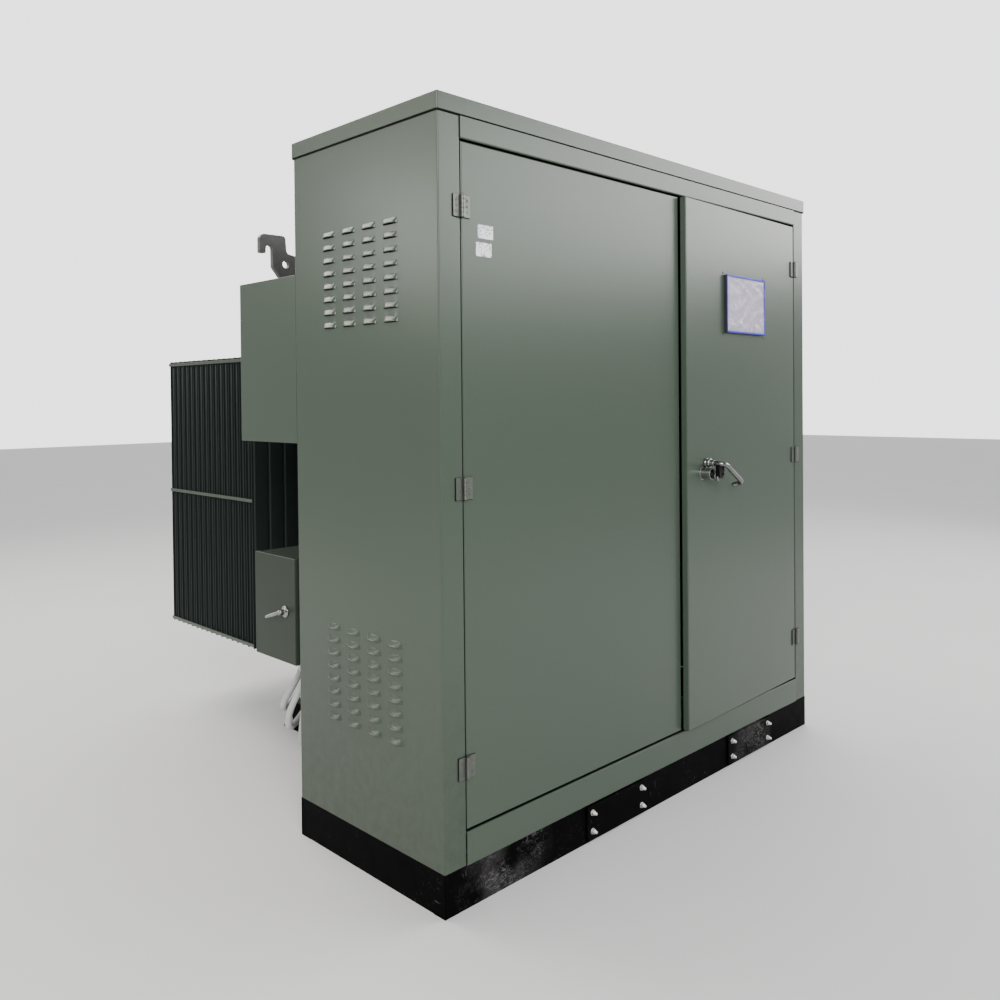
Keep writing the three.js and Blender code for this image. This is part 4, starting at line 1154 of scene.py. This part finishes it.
# Tank ---------------------------------------------------------------------------------------
def tank():
    x0, x1, y0, y1 = TANK_LEFT, WIDTH - TANK_LEFT, span("tank_cover")[0].y, TANK_BACK
    *_, z0, z1 = sides("tank_wrapper")
    wrapper = Piece("tank_walls")
    outline = strip([(x1, y0), (x1, y1), (x0, y1), (x0, y0)], 6, 26)
    wrapper.prism(outline, "z", z0, z1)
    for z in (z0 + 2, z1 - 1):
        wrapper.bead((x0 + 26, y1 + 0.5, z), (x1 - 26, y1 + 0.5, z), 2.6)
        for x in (x0 - 0.5, x1 + 0.5):
            wrapper.bead((x, y0 + 4, z), (x, y1 - 26, z), 2.6)
    wrapper.done(GREEN, "green_paint", replaces=["tank_wrapper"], angle=40)
    glands = Piece("tank_glands")
    for route in CONDUIT_ROUTES:
        _, y, z = route[-1]
        gland(glands, (TANK_LEFT - 0.1, y, z), (-1, 0, 0), GLAND_LENGTH)
    glands.done(ZINC, "zinc_plate")
    x0, x1, y0, y1, z0, z1 = sides("tank_cover")
    cover = Piece("tank_cover_plate")
    lid = rounded([(x0, y0, 1), (x1, y0, 1), (x1, y1, 22), (x0, y1, 22)], 5)
    cover.prism(lid, "z", z0, z0 + 8, 1.0)
    hand = rounded([(800, 980, 30), (1200, 980, 30), (1200, 1280, 30), (800, 1280, 30)], 6)
    cover.prism(hand, "z", z0 + 8, z0 + 14, 1.0)
    cover.prism(hand, "z", z0 + 14.8, z1, 1.2)
    cover.done(GREEN, "green_paint", replaces=["tank_cover"])
    seal_and_shadow_strip = Piece("hand_hole_gasket")
    seal_and_shadow_strip.prism(rounded([(806, 986, 26), (1194, 986, 26), (1194, 1274, 26), (806, 1274, 26)], 6), "z",
               z0 + 13.5,
               z0 + 15.2)
    seal_and_shadow_strip.done(RUBBER, "black_plastic")
    bolts = Piece("tank_cover_bolts")
    for x in range(540, 1480, 115):
        bolts.bolt((x + 10, y1 - 9, z0 + 8), (0, 0, 1), 8)
    for y in range(760, 1470, 105):
        for x in (x0 + 9, x1 - 9):
            bolts.bolt((x, y, z0 + 8), (0, 0, 1), 8)
    for x in range(830, 1200, 85):
        for y in (998, 1262):
            bolts.bolt((x, y, z1), (0, 0, 1), 9)
    for y in (1086, 1174):
        for x in (818, 1182):
            bolts.bolt((x, y, z1), (0, 0, 1), 9)
    bolts.done(ZINC, "zinc_plate")


def pockets():
    for side, turn in (("left", None), ("right", MIRROR)):
        x0, x1, y0, y1, z0, z1 = sides("tank_pocket_left")
        piece = Piece(f"oil_pocket_{side}")
        piece.box(x0, x1, y0, y1, z0, z1, 1.2, 3)
        piece.bead((x1 - 1, y1 + 1, z0 + 2), (x1 - 1, y1 + 1, z1 - 2), 2.6)
        for z in (z0 - 0.5, z1 + 0.5):
            piece.bead((x1 - 1, y0 + 6, z), (x1 - 1, y1 - 2, z), 2.6)
        piece.done(GREEN, "green_paint", replaces=[f"tank_pocket_{side}"], turn=turn)


def hooks():
    for place, y, lowest in (("front", 820, span("lifting_hook_front_left")[0].z),
                             ("rear", 1350, span("lifting_hook_rear_left")[0].z)):
        for side, turn in (("left", None), ("right", MIRROR)):
            wall = TANK_LEFT - 0.3
            top = [(484, 1948, 6), (405, 1961, 10), (366, 1968, 16), (361, 2036, 14), (262, 2035, 12),
                   (249, 2020, 10), (249, 1961, 3), (274, 1961, 3), (275, 1993, 14),
                   (304, 1994, 13), (305, 1910, 3)]
            foot = ([(wall, 1660, 1), (wall, 1878, 1), (484, 1878, 1)] if place == "rear" else
                    [(305 + (1910 - lowest) * 0.778, lowest, 1), (wall, lowest, 1), (wall, 1878, 1),
                     (484, 1878, 1)])
            piece = Piece(f"lifting_hook_{place}_{side}_plate")
            outline = rounded(foot + top, 5)
            piece.prism(outline, "y", y + 0.2, y + 19.8, 1.5, [arc((362, 1925), 15, 0, 350, 35)])
            for edge in (y, y + 20):
                piece.bead((wall - 2, edge, max(lowest, 1664) + 6), (wall - 2, edge, 1870), 3)
            piece.done(PRIMED, "primed_steel", replaces=[f"lifting_hook_{place}_{side}"], turn=turn)


PANEL_PITCH = 46.5
PANELS = 17
FLUTES = 7


def radiator_panel(bm, x0, x1, y, z0, z1):
    """One pressed panel: two sheets seamed round the edge, with flutes between two collectors."""
    seam, full = 1.3, 6.0
    edge, gap, ramp = 10, 7, 8
    wide = (x1 - x0 - 2 * edge - (FLUTES - 1) * gap) / FLUTES
    columns = [(x0, 0, 0), (x0 + edge, 0, 0)]
    for k in range(FLUTES):
        a = x0 + edge + k * (wide + gap)
        first, last = k == 0, k == FLUTES - 1
        columns += [(a + ramp * 0.4, 0.55, 0.55 if first else 1), (a + ramp, 0.93, 0.93 if first else 1),
                    (a + wide / 2, 1, 1),
                    (a + wide - ramp, 0.93, 0.93 if last else 1),
                    (a + wide - ramp * 0.4, 0.55, 0.55 if last else 1)]
        if not last:
            columns += [(a + wide, 0, 1), (a + wide + gap, 0, 1)]
    columns += [(x1 - edge, 0, 0), (x1, 0, 0)]
    ends = [(0, 0, 1), (9, 0, 1), (14, 0.7, 1), (20, 1, 1), (108, 1, 1), (118, 1, 0.55), (128, 1, 0)]
    tall = z1 - z0
    levels = ends + [(tall / 2, 1, 0)] + [(tall - h, a, b) for h, a, b in ends[::-1]]
    skins = []
    for way in (-1, 1):
        rows = []
        for h, rise, collector in levels:
            rows.append([bm.verts.new((x, y + way * (seam + (full - seam) * rise
                                                     * (collector * rim + (1 - collector) * flute)),
                                        z0 + h))
                         for x, flute, rim in columns])
        skins.append(rows)
        for low, high in zip(rows, rows[1:]):
            for k in range(len(columns) - 1):
                quad = (low[k], low[k + 1], high[k + 1], high[k])
                bm.faces.new(quad if way < 0 else quad[::-1])
    front, back = skins
    rims = [(front[0], back[0]), (back[-1], front[-1]), ([r[0] for r in back], [r[0] for r in front]),
            ([r[-1] for r in front], [r[-1] for r in back])]
    for a, b in rims:
        for k in range(len(a) - 1):
            bm.faces.new((a[k], b[k], b[k + 1], a[k + 1]))


def radiators():
    x0, x1, _, y1, z0, z1 = sides("radiator_left")
    first, middle = 1606 + 6, (x0 + x1) / 2
    for side, turn in (("left", None), ("right", MIRROR)):
        bank = Piece(f"radiator_bank_{side}")
        for k in range(PANELS):
            radiator_panel(bank.bm, x0, x1, first + k * PANEL_PITCH, z0, z1)
        headers = (z0 + 70, z1 - 70)
        for z in headers:
            pipe = [(0, 0), (42, 0), (42, y1 - TANK_BACK - 0.5), (0, y1 - TANK_BACK - 0.3)]
            bank.lathe(pipe, (middle, TANK_BACK + 0.4, z), (0, 1, 0), 36)
        bank.done(DARK_GREEN, "dark_green_paint", replaces=[f"radiator_{side}"], turn=turn, angle=24)
        ties = Piece(f"radiator_ties_{side}")
        for z in (z0 + 14, 971, z1 - 14):
            for a in (x0 - 3.6, x1 + 0.4):
                ties.box(a, a + 3.2, first - 8, first + (PANELS - 1) * PANEL_PITCH + 8, z - 7, z + 7, 0.8)
                for k in range(PANELS):
                    y = first + k * PANEL_PITCH
                    ties.lathe([(0, 0), (4.2, 0), (3, 1.4), (0, 1.8)], (a + (0.2 if a < x0 else 3.0), y, z),
                               (-1 if a < x0 else 1, 0, 0), 10)
        ties.done(GREEN, "green_paint", turn=turn)
        valves = Piece(f"radiator_valves_{side}")
        for z in headers:
            for a, b in ((1500.5, 1514), (1541, 1554)):
                valves.box(middle - 62, middle + 62, a, b, z - 62, z + 62, 3, 3)
            valves.lathe([(0, 0), (52, 0), (55, 3), (55, 24), (52, 27), (0, 27)], (middle, 1514, z),
                         (0, 1, 0), 36)
            valves.rod((middle, 1527, z + 50), (middle, 1527, z + 82), 8)
            valves.box(middle - 5, middle + 55, 1522, 1532, z + 80, z + 87, 2)
        valves.done(DARK_GREEN, "dark_green_paint", turn=turn)
        bolts = Piece(f"radiator_bolts_{side}")
        for z in headers:
            for dx in (-50, 50):
                for dz in (-50, 50):
                    bolts.bolt((middle + dx, 1554, z + dz), (0, 1, 0), 11, head=False, stud=6)
        plug = y1 - 1.5
        for z in headers:
            bolts.hexagon((middle, plug - 9, z), (0, 1, 0), 24, 10)
        bolts.done(ZINC, "zinc_plate", turn=turn)


# Gear on the tank's front plate -------------------------------------------------------------
OUT = (0, -1, 0)
HV_BUSHINGS, LV_BUSHINGS, FUSES = (580, 750, 920), (1250, 1400, 1550, 1700), (180, 290, 400)
BUSHING_Z, FUSE_Z = 1400, 1500


def clamp(ring, nuts, x, bore, pitch):
    """A bushing's clamp ring with four studs and nuts on it."""
    ring.prism(arc((x, BUSHING_Z), 62, 0, 350, 35), "y", PLATE_FACE - 14, PLATE_FACE - 0.4, 1.2,
               [arc((x, BUSHING_Z), bore, 0, 350, 35)])
    for a, b in arc((x, BUSHING_Z), pitch, 45, 315, 3):
        nuts.bolt((a, PLATE_FACE - 14, b), OUT, 6, head=False, stud=5)


def bushings():
    clamps, nuts = Piece("bushing_clamps"), Piece("bushing_nuts")
    for i, x in enumerate(HV_BUSHINGS):
        body = Piece(f"hv_bushing_{i + 1}_insert")
        body.lathe([(0, 40), (9, 40), (9, 122), (17, 124), (18.5, 127), (21.5, 129.4), (24, 129.4),
                    (26.4, 127),
                    (27, 120), (31.5, 76), (33, 73), (34.5, 73), (36, 68), (38, 32), (44, 25), (50, 21),
                    (58, 18), (58, 1), (0, 1)], (x, PLATE_FACE, BUSHING_Z), OUT, 40)
        body.done(EPOXY, "epoxy", replaces=[f"hv_bushing_{i + 1}"])
        probe = Piece(f"hv_bushing_{i + 1}_contact")
        probe.lathe([(0, 38), (6, 38), (6, 96), (5, 100), (0, 101)], (x, PLATE_FACE, BUSHING_Z), OUT, 20)
        probe.done(COPPER, "tinned_copper")
        clamp(clamps, nuts, x, 50, 56)
    for i, x in enumerate(LV_BUSHINGS):
        body = Piece(f"lv_bushing_{i}_body")
        body.lathe([(0, 122), (24, 122), (29, 119), (31, 114), (31, 104), (40, 100), (42, 97), (40, 94),
                    (32, 91),
                    (32, 82), (42, 78), (44, 75), (42, 72), (33, 69), (33, 60), (46, 55), (48, 51), (46,
                                                                                                     46),
                    (46, 24), (58, 20), (58, 1), (0, 1)], (x, PLATE_FACE, BUSHING_Z), OUT, 40)
        body.done(EPOXY, "epoxy", replaces=[f"lv_bushing_{i}"])
        spade = Piece(f"lv_bushing_{i}_spade")
        tip = PLATE_FACE - 122
        holes = [arc((x + dx, tip - dy), 7, 0, 340, 17) for dx in (-20, 20) for dy in (40, 84)]
        plate = rounded([(x - 38, tip - 105.5, 8), (x + 38, tip - 105.5, 8), (x + 38, tip - 18, 8),
                         (x + 18, tip, 4),
                         (x - 18, tip, 4), (x - 38, tip - 18, 8)], 4)
        spade.prism(plate, "z", BUSHING_Z - 6, BUSHING_Z + 6, 0.9, holes)
        spade.lathe([(0, 0), (22, 0), (23, 2), (23, 9), (20, 12), (0, 12)], (x, tip + 2, BUSHING_Z), OUT, 6)
        spade.done(COPPER, "tinned_copper")
        clamp(clamps, nuts, x, 48, 55)
        for dx in (-20, 20):
            for dy in (40, 84):
                nuts.bolt((x + dx, tip - dy, BUSHING_Z + 6), (0, 0, 1), 11)
    clamps.done(STEEL, "bare_steel")
    nuts.done(ZINC, "zinc_plate")


def fuses():
    collars = Piece("fuse_holder_collars")
    for i, x in enumerate(FUSES):
        place = (x, PLATE_FACE, FUSE_Z)
        body = Piece(f"bayonet_fuse_{i + 1}_cap")
        body.lathe([(0, 112), (17, 112), (21.5, 108), (22, 104), (22, 62), (20.5, 58), (19.6, 54),
                    (19.6, -178),
                    (18, -180), (0, -180)], place, OUT, 36)
        for k in range(10):
            a = 2 * math.pi * k / 10
            spoke = (x + 21.4 * math.cos(a), FUSE_Z + 21.4 * math.sin(a))
            body.rod((spoke[0], PLATE_FACE - 66, spoke[1]), (spoke[0], PLATE_FACE - 102, spoke[1]), 1.8, 10)
        body.done(PLASTIC, "black_plastic", f"fuse_{i + 1}", [f"bayonet_fuse_{i + 1}"])
        eye = Piece(f"bayonet_fuse_{i + 1}_eye")
        eye.rod((x, PLATE_FACE - 110, FUSE_Z), (x, PLATE_FACE - 122, FUSE_Z), 6.5, 20)
        eye.ring((x, PLATE_FACE - 134.5, FUSE_Z), (1, 0, 0), 11, 3.4)
        eye.done(BRASS, "brass", f"fuse_{i + 1}")
        collars.lathe([(20.6, 0.6), (40, 0.6), (40, 8), (34, 12), (28, 14), (26, 34), (24.5, 38),
                       (22.6, 38),
                       (20.6, 36), (20.6, 0.6)], place, OUT, 40)
    bm = collars.bm
    bmesh.ops.remove_doubles(bm, verts=list(bm.verts), dist=0.001)
    flat = [f for f in bm.faces if len(f.verts) > 4]
    bmesh.ops.delete(bm, geom=flat, context="FACES_ONLY")
    collars.done(STEEL, "bare_steel")


def hook_handle(name, node, x, z, out, reach, material, slot, plate_material, plate_slot):
    """A hook-stick handle: a hub with an arm that ends in an eye, over a round index plate."""
    piece = Piece(name)
    piece.lathe([(0, out), (12, out), (16, out - 2), (21, out - 8), (21.6, out - 12), (20, 10), (0, 10)],
                (x, PLATE_FACE, z), OUT, 36)
    y0, y1 = PLATE_FACE - out + 0.2, PLATE_FACE - out + 9.8
    arm = rounded([(x - 9, z - 23, 6), (x + 9, z - 23, 6), (x + 7, z + reach - 3, 2),
                   (x - 7, z + reach - 3, 2)], 4)
    piece.prism(arm, "y", y0, y1, 1.5)
    piece.ring((x, (y0 + y1) / 2, z + reach + 14), (0, 1, 0), 17.5, 4.4)
    piece.bolt((x, PLATE_FACE - out + 0.5, z), OUT, 7)
    piece.done(material, slot, node, [node])
    plate = Piece(f"{name}_index_plate")
    plate.lathe([(0, 0.4), (44, 0.4), (46, 1.4), (46, 3), (31, 4), (30, 9), (24, 9.6), (0, 9.6)],
                (x, PLATE_FACE, z), OUT, 44)
    for a, b in arc((x, z), 40, -150, 150, 12):
        plate.lathe([(0, 0), (1.6, 0), (1.2, 0.9), (0, 1.1)], (a, PLATE_FACE - 3.1, b), OUT, 10)
    plate.done(plate_material, plate_slot)


def valves_and_gauge():
    x, z = 640, 240
    face = PLATE_FACE
    body = Piece("drain_valve_body")
    body.lathe([(0, 0.4), (34, 0.4), (34, 10), (30, 13), (18, 15), (17.6, 66), (21, 70), (0, 70)],
               (x, face, z), OUT, 36)
    body.hexagon((x, face - 70, z), OUT, 46, 40)
    body.lathe([(0, 0), (17, 0), (17.5, 1), (17.5, 18), (14, 20), (0, 20)], (x, face - 110, z), OUT, 32)
    body.lathe([(0, 0), (17, 0), (17, 22), (13.6, 26), (12.6, 40), (11, 45.6), (0, 45.6)],
               (x, face - 96, z), (0, 0, 1), 32)
    body.done(BRASS, "brass", replaces=["drain_valve"])
    wheel = Piece("drain_wheel")
    low = z + 46.3
    y = face - 96
    wheel.ring((x, y, low + 29), (0, 0, 1), 31.4, 4.4)
    wheel.lathe([(0, 0), (8, 0), (8, 20), (11, 23), (11, 33), (8, 36), (0, 36)], (x, y, low), (0, 0, 1), 28)
    for k in range(5):
        a = 2 * math.pi * k / 5
        wheel.sweep([(x + r * math.cos(a), y + r * math.sin(a), low + 29 - 3 * math.sin(r / 31 * math.pi))
                     for r in (7, 13, 19, 25, 31)], 3, 12)
    wheel.done(CAST_IRON, "cast_iron", "drain_valve_wheel", ["drain_valve_wheel"])
    x, z = 900, 1700
    case = Piece("level_gauge_case")
    case.lathe([(0, 0.4), (56, 0.4), (56, 10), (54, 12), (46, 13), (46, 31), (44, 34), (41, 34), (40, 31),
                (40, 24),
                (0, 24)], (x, face, z), OUT, 48)
    case.done(ZINC, "gauge_case", replaces=["oil_level_gauge"])
    dial = Piece("level_gauge_dial")
    dial.lathe([(0, 24.2), (39.6, 24.2), (39.6, 25.6), (0, 25.6)], (x, face, z), OUT, 48)
    dial.done(WHITE_PLASTIC, "gauge_case")
    marks = Piece("level_gauge_marks")
    for i in range(11):
        a = math.radians(210 - i * 24)
        tall = 9 if i % 5 == 0 else 5
        turn = Matrix.Translation((x, 0, z)) @ Matrix.Rotation(-a, 4, "Y")
        marks.box(34 - tall, 34, face - 26.4, face - 25.4, -0.7, 0.7, 0.2, 1, turn)
    marks.done(PLASTIC, "black_plastic")
    pointer = Piece("level_gauge_pointer")
    turn = Matrix.Translation((x, 0, z)) @ Matrix.Rotation(-math.radians(72), 4, "Y")
    pointer.prism([(-9, -2.2), (26, -0.7), (29, 0), (26, 0.7), (-9, 2.2)], "y", face - 29, face - 27.4, 0.2,
                  place=turn)
    pointer.rod((x, face - 25, z), (x, face - 31, z), 4, 20)
    pointer.done(RED_PLASTIC, "yellow_plastic")
    x, z = 1000, 1800
    relief = Piece("pressure_relief_body")
    relief.lathe([(0, 0.4), (26, 0.4), (26, 10), (24, 12), (19.4, 13), (20, 16), (20, 44), (17, 47),
                  (10, 48.5),
                  (9, 52), (0, 52)], (x, face, z), OUT, 36)
    relief.hexagon((x, face - 13, z), OUT, 39, 14)
    relief.rod((x, face - 50, z), (x, face - 62, z), 4, 16)
    relief.ring((x, face - 61, z), (1, 0, 0), 6.6, 1.7)
    relief.done(BRASS, "brass", replaces=["pressure_relief_valve"])


def cabinet_inside():
    dress("tank_front_plate", GREEN_INSIDE)
    dress("compartment_barrier", GALVANISED)
    bar = Piece("ground_bar")
    y = PLATE_FACE
    bar.box(140, 1860, y - 46, y - 40, 150, 190, 1.2, 3)
    bar.done(COPPER, "tinned_copper")
    stand = Piece("ground_bar_standoffs")
    fasteners = Piece("ground_bar_bolts")
    for x in (*range(200, 1081, 220), *range(1150, 1850, 160)):
        stand.rod((x, y - 40, 170), (x, y - 0.4, 170), 12, 24)
        fasteners.bolt((x, y - 46, 170), OUT, 10, stud=4)
    stand.done(PLASTIC, "black_plastic")
    for z in range(260, 2140, 190):
        for x in (40, WIDTH - 40):
            fasteners.bolt((x, y - 0.3, z), OUT, 8)
    for z in (300, 900, 1500, 2050):
        fasteners.bolt((1101.4, y - 30, z), (1, 0, 0), 6)
    fasteners.done(ZINC, "zinc_plate")
    clip = Piece("barrier_angle")
    folded(clip, [(1124, y - 0.4), (1101.4, y - 0.4), (1101.4, y - 44)], "z", 140, 2140, 2, 4)
    clip.done(GALVANISED, "zinc_plate")


# Control box --------------------------------------------------------------------------------
def control_box():
    front, back, bottom, top, deep = 723, 973, 534, 878, 180
    x0 = 20.3
    body = Piece("control_box_shell")
    contour = [*arc((4, deep - 4), 4, 90, 180, 4), (0, x0 + 1), (1, x0), (12, x0), (12, x0 + 2),
               (2, x0 + 2.4),
               (2, deep - 4), (4, deep - 2)]
    contour[0] = (4, deep)
    body.pan(front + 2, back - 2, bottom + 2, top - 2, contour, 4, lambda u, v, d: (d, u, v))
    bracket = strip([(60, DEPTH + 0.4), (60, front + 3), (120, front + 3), (120, DEPTH + 0.4)], 3, 4)
    body.prism(bracket, "z", bottom + 20, top - 20)
    body.box(12.2, 35.8, DEPTH + 6, DEPTH + 10, top - 30, 1250.6, 0.8)
    body.box(32, 36, DEPTH + 6, front + 4, top - 30, top - 4, 0.8)
    # Painted shade: the shell takes the darkened green.
    body.done(SHADED_GREEN_BOX, "green_paint", replaces=["control_box"], angle=35)
    seal_and_shadow_strip = Piece("control_box_seal")
    for a, b in (((19.2, front + 9, bottom + 9), (19.2, back - 9, bottom + 9)),
                 ((19.2, front + 9, top - 9), (19.2, back - 9, top - 9)),
                 ((19.2, front + 9, bottom + 9), (19.2, front + 9, top - 9)),
                 ((19.2, back - 9, bottom + 9), (19.2, back - 9, top - 9))):
        seal_and_shadow_strip.rod(a, b, 1.9, 10)
    seal_and_shadow_strip.done(RUBBER, "black_plastic")
    glands = Piece("control_box_glands")
    for route in CONDUIT_ROUTES:
        x, y, _ = route[0]
        gland(glands, (x, y, bottom + 1.9), (0, 0, -1), bottom + 1.9 - CONDUIT_TOP - 0.3)
    glands.done(ZINC, "zinc_plate")
    door = Piece("control_box_door_pan")
    shell = [*arc((3, 3), 3, -90, -180, 4), (0, 17.2), (0.8, 18), (1.6, 18), (2, 17.4), (2, 3), (3, 2)]
    door.pan(front, back, bottom, top, shell, 2, lambda u, v, d: (d, u, v))
    # Painted shade: the door takes the darkened green too.
    door.done(SHADED_GREEN_BOX, "green_paint", "control_box_door", ["control_box_door"])
    axis = (20, back + 3)
    fixed, moving = Piece("control_box_hinge_fixed"), Piece("control_box_hinge_moving")
    for z in (bottom + 50, top - 90):
        fixed.rod((*axis, z), (*axis, z + 19.6), 4.2, 20)
        fixed.box(axis[0], axis[0] + 7, back - 4, axis[1] + 1, z + 1, z + 19, 0.6)
        moving.rod((*axis, z + 20.2), (*axis, z + 40), 4.2, 20)
        moving.box(14, axis[0], back - 0.3, axis[1] + 2, z + 21, z + 39, 0.6)
    fixed.done(STEEL, "bare_steel")
    moving.done(STEEL, "bare_steel", "control_box_door")
    y, z = 782, 701
    lever = Piece("control_box_lever")
    lever.lathe([(0, 0.2), (18.4, 0.2), (19, 1), (19, 3), (17.5, 5), (12, 7.4), (10.6, 9), (0, 9)],
                (0, y, z), (-1, 0, 0), 36)
    lever.lathe([(0, 8), (9, 8), (9.2, 12), (8, 20), (8.6, 25), (7, 27), (0, 27.4)], (0, y, z),
                (-1, 0, 0), 30)
    slope = math.radians(-18)
    points = [(-28 + (0.9 if t > 0.9 else 0), y + r * math.cos(slope), z + r * math.sin(slope))
              for t, r in ((k / 10, -24 + 102 * k / 10) for k in range(11))]
    grip, _ = smooth_line(points, 4)
    lever.sweep(grip, lambda t: 3.6 + 2.6 * math.sin(math.pi * min(1, 0.12 + t * 0.8)), 18)
    lever.rod((-24, y - 22 * math.cos(slope), z - 22 * math.sin(slope)),
              (-31.4, y - 22 * math.cos(slope), z - 22 * math.sin(slope)), 5.4, 20)
    lever.done(PLATED, "chrome", "control_box_handle", ["control_box_handle"])
    inside = Piece("terminal_rail")
    inside.prism(strip([(deep - 16, 690), (deep - 8, 690), (deep - 8, 725), (deep - 16, 725)], 1.2, 2), "y",
                 front + 26, back - 26)
    inside.done(ZINC, "zinc_plate")
    blocks = Piece("terminal_blocks")
    screws = Piece("terminal_screws")
    for k in range(16):
        y0 = front + 44 + k * 10
        blocks.box(deep - 52, deep - 17, y0, y0 + 9.4, 676, 740, 1.2)
        for z0 in (688, 728):
            screws.lathe([(0, 0), (3, 0), (3, 1.4), (0, 1.6)], (deep - 52, y0 + 4.7, z0), (-1, 0, 0), 14)
    blocks.done(WHITE_PLASTIC, "gauge_case")
    screws.done(BRASS, "brass")


def hidden_parts():
    dress("tank_floor", GREEN_INSIDE, 1.0)
    dress("core", CORE_STEEL, 1.0)
    for i in (1, 2, 3):
        dress(f"winding_{i}", WINDING, 1.5)


studio()
base()
side_panel("side_panel_left_sheet", "left_side_panel", None)
side_panel("side_panel_right_sheet", "right_side_panel", MIRROR)
front_rails()
roof()
door_skin("left_door_skin", *LEFT_DOOR, "left_door", "left_door", None)
door_skin("right_door_skin", *RIGHT_DOOR, "right_door", "right_door", AJAR)
stiffeners("left_door_stiffeners", *LEFT_DOOR, "left_door", None, None)
stiffeners("right_door_stiffeners", *RIGHT_DOOR, "right_door", AJAR, (1190, 1262))
hinges()
door_handle()
lock_rods()
document_holder()
stickers()
door_seals_and_gap_shade()
tank()
pockets()
hooks()
radiators()
bushings()
fuses()
hook_handle("switch_handle_arm", "switch_handle", 700, 1660, 60, 58, YELLOW, "yellow_plastic", ZINC,
            "zinc_plate")
hook_handle("tap_handle_arm", "tap_changer_handle", 450, 1660, 44, 30, PLASTIC, "black_plastic", ZINC,
            "zinc_plate")
valves_and_gauge()
cabinet_inside()
control_box()
hidden_parts()
